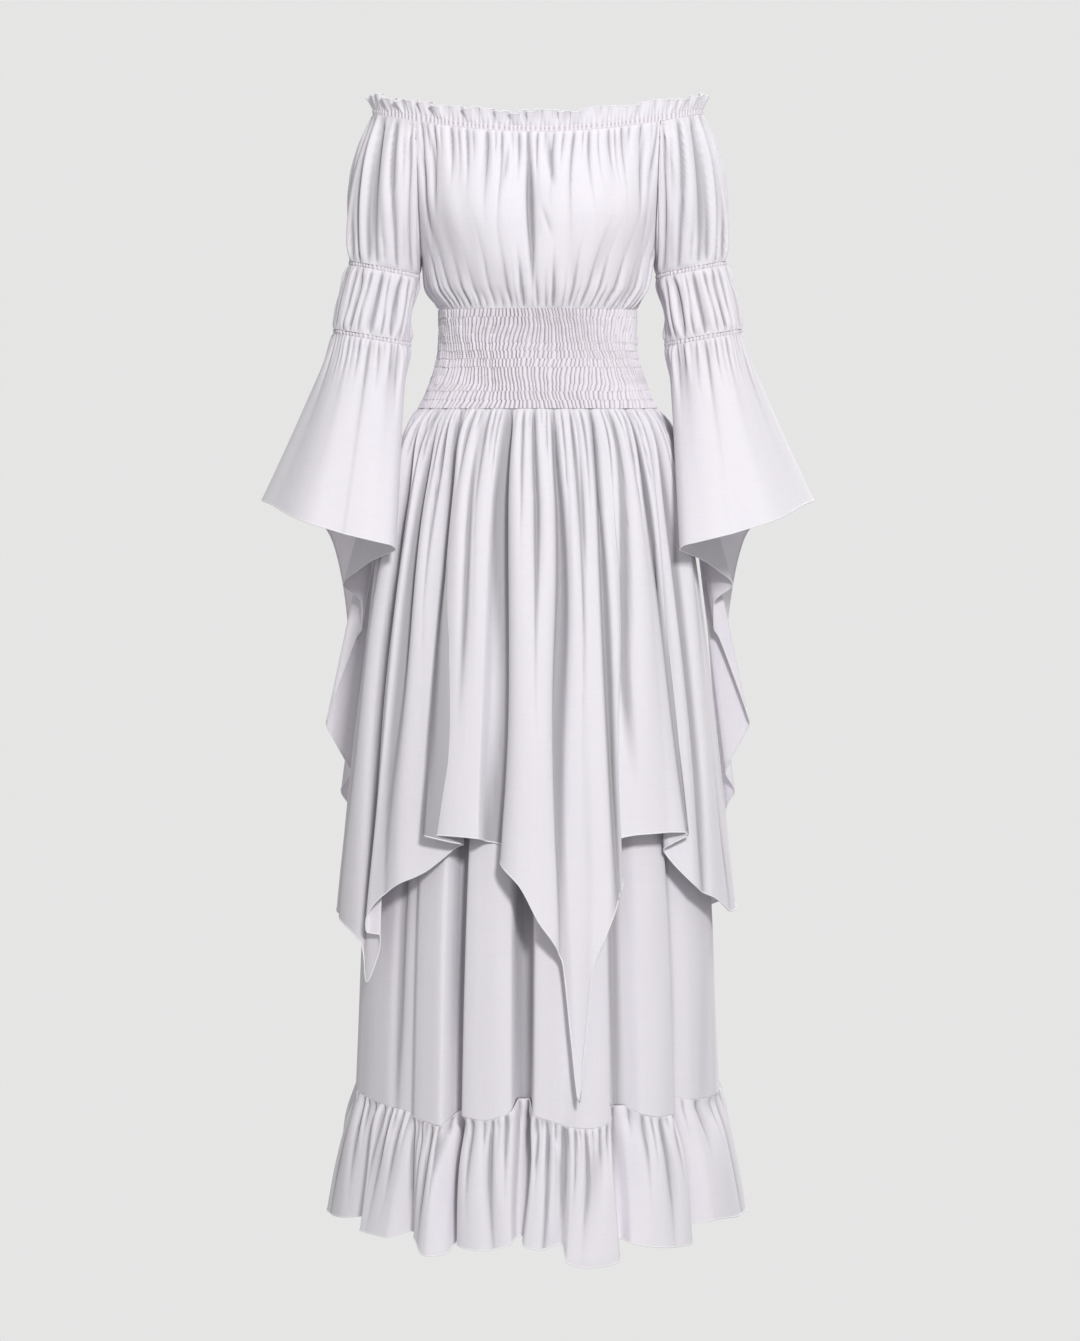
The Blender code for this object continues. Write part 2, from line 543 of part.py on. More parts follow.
def lower_puffs():
    turn = np.arange(PUFF_COLUMNS) / PUFF_COLUMNS * TURN
    rise = ELASTIC_HEIGHT / 2 + SEAM_GAP
    upper = arm_ring(ARM_ELASTIC, turn, -rise)
    lower = arm_ring(ELBOW_ELASTIC, turn, rise)
    both_sleeves("lower_puff", loft(upper, lower, turn, LOWER_ROWS, LOWER_BULGE, PUFF_FOLDS, 31))


def bells():
    """The flared end of each sleeve, with the long point that trails behind."""
    table = list(BELL_HEM) + [BELL_HEM[0]._replace(turn_deg=360)]
    lines = []
    for near, far in zip(table, table[1:]):
        lines.append(near.turn_deg)
        if far.turn_deg - near.turn_deg > WIDE_TURN:
            lines.append((near.turn_deg + far.turn_deg) / 2)
    at = np.array(lines, float)
    x, y, z, flare = (smooth(column(table, "turn_deg"), column(table, name), at)
                      for name in ("x", "y", "z", "flare"))
    turn = np.radians(at)
    share = closing_rows(BELL_ROWS)[:, None]
    start = arm_ring(ELBOW_ELASTIC, turn, -ELASTIC_HEIGHT / 2 - SEAM_GAP)
    points = np.empty((BELL_ROWS + 1, len(at), 3))
    swing = share**flare
    points[..., 0] = start[:, 0] + (x - start[:, 0]) * swing
    points[..., 1] = start[:, 1] + (y - start[:, 1]) * swing
    points[..., 2] = start[:, 2] + (z - start[:, 2]) * share
    soft = bump(at, 60, 75)
    wave = (gathers(at / 360, BELL_WAVES, 41, BELL_WAVE) - BELL_WAVE / 2) * share**0.7 * soft
    points[..., 0] += wave * np.sin(turn)
    points[..., 1] -= wave * np.cos(turn)
    both_sleeves("bell", points)


def smocked_waist(name, back, seed):
    """A waist panel: raised, staggered gathers over a plain inside."""
    columns = 2 * SMOCK_RIBS
    quarter = (1 - seam_gap_share(TORSO[3].half_width)) * FRONT_SIDE
    angle = np.linspace(-quarter, quarter, columns + 1) + (math.pi if back else 0.0)
    z = np.linspace(WAIST_BOTTOM, WAIST_TOP, SMOCK_ROWS + 1)[:, None]
    inside = on_ring(TORSO, angle, z, -CLOTH / 2)
    rng = np.random.default_rng(seed)
    height = rng.uniform(0.55, 1.0, (SMOCK_ROWS + 1, columns + 1))
    row, rib = np.indices(height.shape)
    raised = (row + rib) % 2 == 1
    share = CLOTH + np.where(raised, SMOCK_RISE * height, 0.0)
    return as_object(name, inside, "shirring", outer=share / SMOCK_THICKNESS)


def fold_columns(folds):
    """Where a skirt's columns lie: on each fold's line, and between those that lie
    far apart."""
    found = []
    for near, far in zip(folds, folds[1:]):
        found.append(near.waist_deg)
        if far.waist_deg - near.waist_deg > WIDE_FOLD:
            found.append((near.waist_deg + far.waist_deg) / 2)
    return np.array(found + [folds[-1].waist_deg], float)


def skirt(name, back, rings, folds, top, top_out, rows, opens):
    """A skirt panel from its upper seam to its hem, through a table of folds.

    top and top_out give the height and the stand-out of the seam at an angle.
    """
    line = fold_columns(folds)
    share = closing_rows(rows)[:, None]
    start = np.radians(line)
    ends = np.radians(skirt_fold(folds, "hem_deg", line))
    hem = skirt_fold(folds, "hem_mm", line) / 1000
    stands = skirt_fold(folds, "out_mm", line) / 1000
    height = top(line) + share * (hem - top(line))
    angle = start + share**FOLD_DRIFT * (ends - start)
    angle = angle * (1 - seam_gap_share(rings[0].half_width))
    out = top_out(line) * (1 - share) + stands * share**opens
    turned = math.pi if back else 0.0
    return as_object(name, on_ring(rings, angle + turned, height, out), "cloth")


def plain(value):
    return lambda line: np.full(len(line), value)


def seam_of_underskirt(name):
    """What the hem of the underskirt does at an angle, in metres."""
    def read_seam(line):
        turns = column(UNDERSKIRT_FOLDS, "hem_deg")
        return smooth(turns, column(UNDERSKIRT_FOLDS, name), line) / 1000
    return read_seam


def skirts():
    seam = WAIST_BOTTOM - SEAM_GAP
    hem_height = seam_of_underskirt("hem_mm")
    for side in ("front", "back"):
        back = side == "back"
        skirt("overskirt_" + side, back, OVERSKIRT, OVERSKIRT_FOLDS,
              plain(seam), plain(0.0), OVERSKIRT_ROWS, SKIRT_OPENS)
        skirt("underskirt_" + side, back, UNDERSKIRT, UNDERSKIRT_FOLDS,
              plain(seam), plain(0.0), UNDERSKIRT_ROWS, SKIRT_OPENS)
        skirt("flounce_" + side, back, FLOUNCE, FLOUNCE_FOLDS,
              lambda line: hem_height(line) - FLOUNCE_GAP,
              seam_of_underskirt("out_mm"), FLOUNCE_ROWS, FLOUNCE_OPENS)


for old in list(bpy.data.objects):
    bpy.data.objects.remove(old)
DRESS = bpy.data.collections.new("Maxi dress")
bpy.context.scene.collection.children.link(DRESS)

neck_band("neck_casing", 0.0, CASING_HEIGHT, NECK_COLUMNS, 0.0, 0, "shirring")
neck_band("neck_frill", CASING_HEIGHT + SEAM_GAP, FRILL_HEIGHT, 4 * FRILL_WAVES, FRILL_FLARE,
          FRILL_WAVES, "cloth")
bodice("bodice_front", False, FRONT_GATHERS, 1)
bodice("bodice_back", True, BACK_GATHERS, 5)
upper_sleeves()
elastics()
lower_puffs()
bells()
smocked_waist("waist_front", False, 51)
smocked_waist("waist_back", True, 52)
skirts()
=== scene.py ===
"""Off-shoulder maxi dress: the cloth as it looks, on the frame that the solids give."""

import math
from collections import namedtuple

import bpy
import mathutils
import numpy as np
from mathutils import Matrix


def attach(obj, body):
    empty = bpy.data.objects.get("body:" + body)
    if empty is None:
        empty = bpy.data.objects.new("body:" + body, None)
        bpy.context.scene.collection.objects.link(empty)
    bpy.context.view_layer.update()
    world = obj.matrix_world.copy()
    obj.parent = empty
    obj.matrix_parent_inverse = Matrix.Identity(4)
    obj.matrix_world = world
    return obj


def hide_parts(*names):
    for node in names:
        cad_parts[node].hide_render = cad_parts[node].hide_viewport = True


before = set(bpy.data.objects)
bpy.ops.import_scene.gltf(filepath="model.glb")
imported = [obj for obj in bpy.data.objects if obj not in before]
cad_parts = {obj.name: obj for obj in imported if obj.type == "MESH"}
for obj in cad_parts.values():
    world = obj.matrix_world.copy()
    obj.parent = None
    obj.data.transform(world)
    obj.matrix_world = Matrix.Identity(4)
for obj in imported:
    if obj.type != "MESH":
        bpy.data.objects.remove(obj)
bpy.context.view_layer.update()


# Cloth and seams
SEAM_GAP = 0.0006
FRONT_SIDE = math.radians(90.0)
TURN = 2 * math.pi

# Heights of the seams
NECK_FRONT = 0.2355
NECK_SIDE_RISE = 0.026
NECK_BACK_RISE = 0.010
CASING_HEIGHT = 0.006
FRILL_HEIGHT = 0.0155
ARMPIT = 0.100
WAIST_TOP = 0.039
WAIST_BOTTOM = -0.073

# The seams between bodice and sleeves
RAGLAN_NECK = math.radians(48)  # round the neck from the centre front
RAGLAN_X = 0.1325  # from the middle, at the armpit
RAGLAN_GAP = 0.0021  # between the middles of the two cloths
RAGLAN_ROWS = 6
SIDE_SEAM_ROWS = 3

# The neck frill: how far it leans out, and its waves
FRILL_FLARE = 0.004
FRILL_WAVES = 36
FRILL_WAVE = 0.006

# The bodice: gathers along its two seams, the bust and the crease between
BUST_HEIGHT = 0.150
BUST_DEG = 36
BUST_REACH = 0.050
BUST_DEPTH = 0.012
CREASE_DEG = -2
CREASE_DEPTH = 0.008

# The sleeves: how far they puff out, as a share of their length, and their folds
UPPER_BULGE = 0.045
LOWER_BULGE = 0.03
PUFF_FOLDS = 8
PUFF_FOLD = 0.005
NECK_ARC_COLUMNS = 12
NECK_TURN = 12.0  # where round the arm the raglan seam meets the neck, in degrees
BELL_WAVE = 0.008

# The skirts: how soon a fold stands out below its seam, and how late it leans over
SKIRT_OPENS = 0.55
FLOUNCE_OPENS = 0.8
FOLD_DRIFT = 1.4

# A ring of the torso or a skirt: half its width, and its depth in front and behind
Ring = namedtuple("Ring", "z half_width front back")

TORSO = (
    # z, half_width, front, back
    Ring(-0.073, 0.1370, 0.1080, 0.1040),
    Ring(-0.058, 0.1290, 0.1020, 0.0960),
    Ring(-0.032, 0.1195, 0.0930, 0.0840),
    Ring(0.000, 0.1130, 0.0880, 0.0770),
    Ring(0.039, 0.1130, 0.0940, 0.0800),
    Ring(0.066, 0.1275, 0.1050, 0.0850),
    Ring(0.100, 0.1325, 0.1130, 0.0890),
    Ring(0.140, 0.1420, 0.1150, 0.0920),
    Ring(0.180, 0.1550, 0.1110, 0.0940),
    Ring(0.220, 0.1720, 0.1030, 0.0950),
    Ring(0.245, 0.1830, 0.0990, 0.0950),
    Ring(0.262, 0.1885, 0.0980, 0.0950),
    Ring(0.290, 0.1930, 0.0990, 0.0960),
)
OVERSKIRT = (
    # z, half_width, front, back
    Ring(-0.073, 0.1370, 0.1080, 0.1040),
    Ring(-0.092, 0.1485, 0.1140, 0.1110),
    Ring(-0.120, 0.1580, 0.1220, 0.1200),
    Ring(-0.245, 0.1820, 0.1580, 0.1580),
    Ring(-0.390, 0.2010, 0.1850, 0.1880),
    Ring(-0.540, 0.2180, 0.2050, 0.2080),
    Ring(-0.660, 0.2310, 0.2160, 0.2200),
    Ring(-0.860, 0.2430, 0.2260, 0.2300),
)
UNDERSKIRT = (
    # z, half_width, front, back
    Ring(-0.073, 0.1348, 0.1058, 0.1018),
    Ring(-0.120, 0.1480, 0.1130, 0.1110),
    Ring(-0.245, 0.1630, 0.1370, 0.1370),
    Ring(-0.390, 0.1770, 0.1590, 0.1620),
    Ring(-0.540, 0.1920, 0.1780, 0.1810),
    Ring(-0.660, 0.2015, 0.1890, 0.1930),
    Ring(-0.868, 0.2100, 0.1990, 0.2030),
)
FLOUNCE = (
    # z, half_width, front, back
    Ring(-0.868, 0.2100, 0.1990, 0.2030),
    Ring(-0.905, 0.2215, 0.2090, 0.2130),
    Ring(-0.950, 0.2305, 0.2180, 0.2220),
    Ring(-1.014, 0.2400, 0.2270, 0.2310),
)

# A line of a fold, from the waist to the hem: its angle from the centre front at
# both ends, how far it stands out at the hem, and how far the hem drops there
Fold = namedtuple("Fold", "waist_deg hem_deg out_mm hem_mm")

OVERSKIRT_FOLDS = (
    # waist_deg, hem_deg, out_mm, hem_mm
    Fold(-90, -90, 0, -648),
    Fold(-80, -79, 4, -652),
    Fold(-70, -68, 5, -658),
    Fold(-64, -58, 3, -676),
    Fold(-61, -55.5, 0, -721),
    Fold(-59, -51.8, -5, -684),
    Fold(-57.2, -50, 0, -664),
    Fold(-54.9, -53.4, 8.5, -662),
    Fold(-53.2, -52.4, 13, -642),
    Fold(-48, -44, 9, -607),
    Fold(-41, -35, -5, -588),
    Fold(-37.6, -25.6, -9, -558),
    Fold(-36.4, -24.8, -5, -555),
    Fold(-34.6, -34.8, 5.5, -546),
    Fold(-33.4, -34, 9.5, -545),
    Fold(-27, -26, 14, -544),
    Fold(-18, -17, 10, -546),
    Fold(-14.5, -14, -7, -552),
    Fold(-10.5, -10.5, 9, -572),
    Fold(-6, -5.2, 15, -594),
    Fold(-1, 0, 12, -636),
    Fold(4, 4, 8, -660),
    Fold(8.5, 6.6, 3, -680),
    Fold(11, 8.8, 5, -770),
    Fold(12.5, 10.6, 7, -838),
    Fold(14, 12.2, 9, -770),
    Fold(17, 14.5, 13, -688),
    Fold(21, 18.5, 15, -648),
    Fold(26, 23.2, 12, -608),
    Fold(27.2, 24, 8, -596),
    Fold(29.6, 22.2, -4, -560),
    Fold(30.8, 22.8, -8, -553),
    Fold(35, 31, 1, -545),
    Fold(41, 39.5, 2, -545),
    Fold(47.6, 48, 13, -547),
    Fold(48.8, 48.8, 8.5, -549),
    Fold(51.4, 42.6, -8, -564),
    Fold(52.6, 43.4, -12.5, -570),
    Fold(58, 51, 3, -608),
    Fold(67, 61, 5, -628),
    Fold(78, 74, 4, -648),
    Fold(90, 90, 0, -648),
)
UNDERSKIRT_FOLDS = (
    # waist_deg, hem_deg, out_mm, hem_mm
    Fold(-90, -90, 0, -858),
    Fold(-79, -80, 4, -858),
    Fold(-69, -70, 5, -860),
    Fold(-59, -60, 3, -862),
    Fold(-54, -55, 2, -863),
    Fold(-45, -44, -4, -866),
    Fold(-41, -40, 6, -868),
    Fold(-36, -35, 8, -871),
    Fold(-31, -30, 10, -873),
    Fold(-28, -27, -13, -860),
    Fold(-26, -25, -14, -858),
    Fold(-22, -22.5, 8, -860),
    Fold(-15, -15.5, 12, -862),
    Fold(-9, -8, 7, -852),
    Fold(-6, -6.2, -17, -842),
    Fold(-3, -3, -18, -842),
    Fold(0, -1, 7, -856),
    Fold(4, 3, 9, -861),
    Fold(7.5, 7, 12, -866),
    Fold(11, 10, 13, -869),
    Fold(15, 15, 13, -871),
    Fold(21, 21.5, 9, -866),
    Fold(24, 24.5, -9, -852),
    Fold(27.5, 28, -8, -852),
    Fold(33, 33, 6, -862),
    Fold(40, 40, 9, -867),
    Fold(45, 46, 6, -866),
    Fold(49, 49.5, -9, -852),
    Fold(57, 57, -1, -858),
    Fold(71, 71, 5, -861),
    Fold(90, 90, 0, -858),
)
FLOUNCE_FOLDS = (
    # waist_deg, hem_deg, out_mm, hem_mm
    Fold(-90, -90, 0, -1004),
    Fold(-80, -80, 9, -1004),
    Fold(-70, -69, 6, -1000),
    Fold(-60, -58, -11, -992),
    Fold(-55, -55.5, 8, -1004),
    Fold(-44, -45, 6, -1004),
    Fold(-40, -38.5, -9, -996),
    Fold(-35, -35, 6, -1000),
    Fold(-30, -30, 13, -1014),
    Fold(-27, -25.5, 3, -1013),
    Fold(-25, -23, -13, -998),
    Fold(-22.5, -21.7, 3, -1001),
    Fold(-15.5, -14.5, 11, -1003),
    Fold(-8, -7, 4, -996),
    Fold(-6.2, -5.8, -12, -991),
    Fold(-3, -4.6, -13, -991),
    Fold(-1, -3.6, 4, -998),
    Fold(3, 1, 8, -1001),
    Fold(7, 6, 0, -997),
    Fold(10, 7.2, 12, -1014),
    Fold(15, 13.5, 16, -1021),
    Fold(21.5, 21.5, 10, -1018),
    Fold(24.5, 24, -13, -998),
    Fold(28, 25.5, 3, -1000),
    Fold(33, 32, 11, -1006),
    Fold(40, 39, 10, -1010),
    Fold(46, 45.5, 5, -1011),
    Fold(49.5, 48.5, -12, -996),
    Fold(57, 56, 4, -993),
    Fold(71, 71, 8, -1000),
    Fold(90, 90, 0, -1004),
)

# A ring of the left sleeve, square to the arm: its centre, half its width from
# the body outwards, half its depth, and how far its outer end is tipped up
ArmRing = namedtuple("ArmRing", "x y z across deep tip_deg")

ARM_ELASTIC = ArmRing(x=0.1762, y=0.002, z=0.0850, across=0.0407, deep=0.0440, tip_deg=11)
ELBOW_ELASTIC = ArmRing(x=0.1900, y=-0.010, z=0.0075, across=0.0445, deep=0.0450, tip_deg=10)
ELASTIC_HEIGHT = 0.005

# The hem of the left bell: the turn round the elbow that each line of cloth hangs
# from (0 front, 90 away from the body, 180 back), and where it ends
Hem = namedtuple("Hem", "turn_deg x y z flare")

BELL_HEM = (
    # turn_deg, x, y, z, flare
    Hem(0, 0.219, -0.128, -0.212, 1.0),
    Hem(22, 0.249, -0.122, -0.203, 1.05),
    Hem(45, 0.282, -0.095, -0.192, 1.1),
    Hem(70, 0.307, -0.052, -0.182, 1.15),
    Hem(92, 0.3145, -0.005, -0.178, 1.15),
    Hem(118, 0.304, 0.042, -0.181, 1.15),
    Hem(145, 0.277, 0.084, -0.190, 1.1),
    Hem(168, 0.248, 0.112, -0.222, 1.0),
    Hem(183, 0.23, 0.13, -0.3, 1.0),
    Hem(194, 0.222, 0.142, -0.44, 1.0),
    Hem(203, 0.222, 0.134, -0.572, 1.0),
    Hem(212, 0.2265, 0.1130, -0.546, 1.0),
    Hem(220, 0.2345, 0.1010, -0.528, 1.0),
    Hem(226, 0.2225, 0.089, -0.506, 1.0),
    Hem(230, 0.222, 0.0815, -0.502, 1.0),
    Hem(236, 0.2495, 0.070, -0.446, 1.0),
    Hem(241, 0.2485, 0.062, -0.438, 1.0),
    Hem(246, 0.2120, 0.046, -0.340, 1.0),
    Hem(250, 0.2060, 0.038, -0.330, 1.0),
    Hem(255, 0.205, 0.027, -0.3, 1.0),
    Hem(262, 0.226, 0.014, -0.278, 1.0),
    Hem(271, 0.207, -0.012, -0.259, 1.0),
    Hem(280, 0.189, -0.048, -0.246, 1.0),
    Hem(292, 0.16, -0.104, -0.231, 1.0),
    Hem(306, 0.164, -0.118, -0.226, 1.0),
    Hem(324, 0.178, -0.126, -0.222, 1.0),
    Hem(342, 0.198, -0.13, -0.217, 1.0),
)


def smooth(xs, ys, at):
    """Monotone cubic through the points (xs, ys), read at the values in at."""
    xs, ys = np.asarray(xs, float), np.asarray(ys, float)
    step = np.diff(xs)
    rise = np.diff(ys) / step
    slope = np.zeros(len(xs))
    slope[0], slope[-1] = rise[0], rise[-1]
    same_way = rise[:-1] * rise[1:] > 0
    both = np.where(same_way, rise[:-1] + rise[1:], 1.0)
    slope[1:-1] = np.where(same_way, 2 * rise[:-1] * rise[1:] / both, 0.0)
    at = np.clip(at, xs[0], xs[-1])
    i = np.clip(np.searchsorted(xs, at) - 1, 0, len(step) - 1)
    t = (at - xs[i]) / step[i]
    return (
        ys[i] * (1 + 2 * t) * (1 - t) ** 2
        + ys[i + 1] * t**2 * (3 - 2 * t)
        + step[i] * t * (1 - t) * (slope[i] * (1 - t) - slope[i + 1] * t)
    )


def column(table, name):
    return [getattr(row, name) for row in table]


def read(rings, name, z):
    """A column of a table of rings, read at the heights z."""
    order = sorted(rings, key=lambda ring: ring.z)
    return smooth(column(order, "z"), column(order, name), z)


def on_ring(rings, angle, z, out=0.0):
    """Points at these angles from the centre front, heights and distances out."""
    depth = np.where(np.cos(angle) > 0, read(rings, "front", z), read(rings, "back", z))
    x = (read(rings, "half_width", z) + out) * np.sin(angle)
    y = -(depth + out) * np.cos(angle)
    return np.stack(np.broadcast_arrays(x, y, z), axis=-1)


def neck_height(angle):
    """Height of the cloth's top edge, where the casing is sewn on."""
    back = np.where(np.cos(angle) < 0, NECK_BACK_RISE * np.cos(angle) ** 2, 0.0)
    return NECK_FRONT + NECK_SIDE_RISE * np.sin(angle) ** 2 + back


def raglan_angle(z):
    """Angle from the centre front of the seam between bodice and sleeve."""
    share = np.clip((z - ARMPIT) / (neck_height(RAGLAN_NECK) - ARMPIT), 0, 1)
    seam_x = RAGLAN_X + share * (RAGLAN_EDGE_X - RAGLAN_X)
    sine = np.clip(seam_x / read(TORSO, "half_width", z), -1, 1)
    return np.where(z <= ARMPIT, FRONT_SIDE, np.arcsin(sine))


RAGLAN_EDGE_X = float(
    read(TORSO, "half_width", neck_height(RAGLAN_NECK)) * math.sin(RAGLAN_NECK)
)


def gathers(position, count, seed, depth):
    """Uneven gathers along an edge: position runs from 0 to 1, crests are at 1."""
    rng = np.random.default_rng(seed)
    bends = np.linspace(0, 1, count + 1)
    bends[1:-1] += rng.uniform(-0.22, 0.22, count - 1) / count
    phase = np.interp(position, bends, np.arange(count + 1))
    heights = rng.uniform(0.65, 1.0, count)
    height = heights[np.clip(phase.astype(int), 0, count - 1)]
    return depth * height * np.sin(math.pi * (phase % 1)) ** 2


def skirt_fold(folds, name, waist_deg):
    return smooth(column(folds, "waist_deg"), column(folds, name), waist_deg)


def mirrored(points):
    """The same sheet on the other side of the body, facing out again."""
    other = points[:, ::-1].copy()
    other[..., 0] *= -1
    return other


def seam_gap_share(radius):
    """How much a panel gives way on each side, as a share of a quarter turn."""
    return SEAM_GAP / 2 / (radius * FRONT_SIDE)


BODICE_BOTTOM = WAIST_TOP + SEAM_GAP
RAGLAN_TOP = float(neck_height(RAGLAN_NECK)) - SEAM_GAP


def seam_rows():
    """Shares of the bodice's height where its rows lie, one of them at the armpit."""
    armpit = (ARMPIT - BODICE_BOTTOM) / (RAGLAN_TOP - BODICE_BOTTOM)
    above = np.linspace(armpit, 1, RAGLAN_ROWS + 1)[1:]
    return np.concatenate([np.linspace(0, armpit, SIDE_SEAM_ROWS + 1), above])


def bump(at, middle, width):
    return np.exp(-(((at - middle) / width) ** 2))


def arm_ring(ring, turn, rise=0.0, grow=0.0):
    """Points round the sleeve: 0 is the front and a quarter turn is away from the body."""
    tip = math.radians(ring.tip_deg)
    out = (ring.across + grow) * np.sin(turn)
    x = ring.x + out * math.cos(tip)
    y = ring.y - (ring.deep + grow) * np.cos(turn)
    z = ring.z + out * math.sin(tip) + rise
    return np.stack(np.broadcast_arrays(x, y, z), axis=-1)


def loft(upper, lower, turn, rows, bulge, folds, seed):
    """Cloth from one loop to another, puffed away from the arm and gathered."""
    share = np.linspace(0, 1, rows + 1)[:, None, None]
    line = upper + (lower - upper) * share
    length = np.linalg.norm(lower - upper, axis=1)[None, :, None]
    away = np.stack([np.sin(turn), -np.cos(turn), np.zeros_like(turn)], axis=-1)
    free = np.clip(0.55 + 0.6 * np.sin(turn), 0.05, 1)[:, None]
    middle = np.sin(math.pi * share)
    position = (turn - turn[0]) / TURN
    fold = gathers(position, folds, seed, PUFF_FOLD)[:, None] * (0.3 + 0.7 * middle)
    return line + away * free * (bulge * length * middle + fold)


def plain(value):
    return lambda line: np.full(len(line), value)


def seam_of_underskirt(name):
    """What the hem of the underskirt does at an angle, in metres."""
    def read_seam(line):
        turns = column(UNDERSKIRT_FOLDS, "hem_deg")
        return smooth(turns, column(UNDERSKIRT_FOLDS, name), line) / 1000
    return read_seam


SHELL = 0.0007  # thickness of the cloth as it looks
PUFF_SPREAD = 0.045  # metres of cloth for each radian round the arm

# Layers of folds below a seam, from the widest to the finest. Each splits the folds
# of the layer before into parts, and says how tall its own are, how far they reach,
# how soon below the seam they stand up, and how round they are: under 1 is flat on
# top with narrow valleys
Layer = namedtuple("Layer", "parts height reach ramp power")

NECK_FOLDS = 14
BODICE_NECK = (
    Layer(2, 0.0060, 0.058, 0.008, 0.60),
    Layer(2, 0.0040, 0.030, 0.003, 0.70),
)
WAIST_FOLDS = 11
BODICE_WAIST = (
    Layer(2, 0.0064, 0.055, 0.010, 0.60),
    Layer(2, 0.0042, 0.026, 0.003, 0.70),
)
SLEEVE_FOLDS = 11
SLEEVE_TOP = (
    Layer(1, 0.0110, 0.170, 0.030, 0.90),
    Layer(2, 0.0084, 0.085, 0.012, 0.90),
    Layer(2, 0.0034, 0.032, 0.003, 0.90),
)
SLEEVE_END = (
    Layer(2, 0.0086, 0.070, 0.008, 0.65),
    Layer(2, 0.0050, 0.030, 0.002, 0.70),
)
PUFF_ENDS = (
    Layer(1, 0.0080, 0.060, 0.012, 0.70),
    Layer(2, 0.0076, 0.040, 0.006, 0.70),
    Layer(2, 0.0030, 0.018, 0.003, 0.70),
)
BELL_TOP = (
    Layer(1, 0.0026, 0.100, 0.030, 0.85),
    Layer(2, 0.0052, 0.044, 0.010, 0.65),
    Layer(2, 0.0038, 0.026, 0.003, 0.70),
)
OVERSKIRT_TOP = (
    Layer(1, 0.0170, 0.400, 0.070, 0.50),
    Layer(2, 0.0110, 0.170, 0.034, 0.60),
    Layer(2, 0.0100, 0.080, 0.016, 0.65),
    Layer(2, 0.0056, 0.036, 0.005, 0.65),
)
FLOUNCE_TOP = (
    Layer(2, 0.0100, 0.130, 0.026, 0.70),
    Layer(2, 0.0096, 0.056, 0.010, 0.65),
    Layer(2, 0.0060, 0.030, 0.003, 0.65),
)

# Single folds of the bodice, each with its place across and down from the neck
Trough = namedtuple("Trough", "at start end lean width depth")
BODICE_TROUGHS = (
    Trough(-0.0085, 0.004, 0.156, 0.01, 0.0030, 0.0120),
    Trough(-0.0090, 0.030, 0.150, 0.01, 0.0120, 0.0036),
    Trough(0.009, 0.004, 0.060, 0.16, 0.0030, 0.0040),
    Trough(-0.026, 0.002, 0.055, -0.18, 0.0034, 0.0040),
    Trough(0.004, 0.082, 0.116, 0.40, 0.0042, 0.0018),
    Trough(-0.128, 0.006, 0.120, -0.22, 0.0045, 0.0050),
    Trough(-0.112, 0.010, 0.095, -0.18, 0.0040, 0.0042),
    Trough(0.128, 0.006, 0.120, 0.22, 0.0045, 0.0050),
    Trough(0.112, 0.010, 0.095, 0.18, 0.0040, 0.0042),
)

# The long, sharp valleys of the overskirt and of the underskirt, by their turn from
# the centre front
Valley = namedtuple("Valley", "turn_deg start end width depth")
OVERSKIRT_VALLEYS = (
    Valley(-76, 0.05, 0.54, 0.0055, 0.010),
    Valley(-63, 0.06, 0.56, 0.0055, 0.011),
    Valley(-50, 0.03, 0.44, 0.0045, 0.012),
    Valley(-36.5, 0.08, 0.56, 0.0060, 0.016),
    Valley(-25, 0.02, 0.30, 0.0036, 0.008),
    Valley(-12.8, 0.05, 0.60, 0.0055, 0.018),
    Valley(-1.5, 0.01, 0.20, 0.0034, 0.007),
    Valley(7.5, 0.04, 0.50, 0.0052, 0.018),
    Valley(17, 0.01, 0.17, 0.0034, 0.007),
    Valley(25.5, 0.03, 0.55, 0.0048, 0.014),
    Valley(34, 0.04, 0.36, 0.0040, 0.010),
    Valley(47, 0.03, 0.52, 0.0058, 0.014),
    Valley(62, 0.05, 0.55, 0.0052, 0.012),
    Valley(76, 0.05, 0.54, 0.0052, 0.010),
)
UNDERSKIRT_VALLEYS = (
    Valley(-50, 0.36, 0.80, 0.0040, 0.006),
    Valley(-27, 0.30, 0.84, 0.0045, 0.010),
    Valley(-4.5, 0.30, 0.84, 0.0050, 0.012),
    Valley(25.8, 0.36, 0.84, 0.0040, 0.009),
    Valley(49, 0.36, 0.80, 0.0040, 0.008),
)


def troughs(valleys, spread):
    """The rows of single folds for these valleys, on cloth of this spread."""
    return [Trough(math.radians(row.turn_deg) * spread, row.start, row.end, 0.0, row.width, row.depth)
            for row in valleys]


# Cloth detail
def split(bounds, parts, rng):
    """The bounds of folds, with each fold split unevenly into parts."""
    found = [bounds[:1]]
    for near, far in zip(bounds, bounds[1:]):
        inner = (np.arange(1, parts) + rng.uniform(-0.30, 0.30, parts - 1)) / parts
        found += [near + inner * (far - near), [far]]
    return np.concatenate(found)


def wandering(u, v, seed, far=0.0020, fan=0.0):
    """Places along a seam, moved up to so far that the folds there wander further down.

    With fan, the outer folds lean away from the middle.
    """
    drift = far * (np.sin(33 * u + 9 * v + seed) + 0.5 * np.sin(79 * u - 17 * v))
    return u * (1 - fan * v * np.minimum(np.abs(u), 0.09)) + drift * np.minimum(1, v / 0.10)


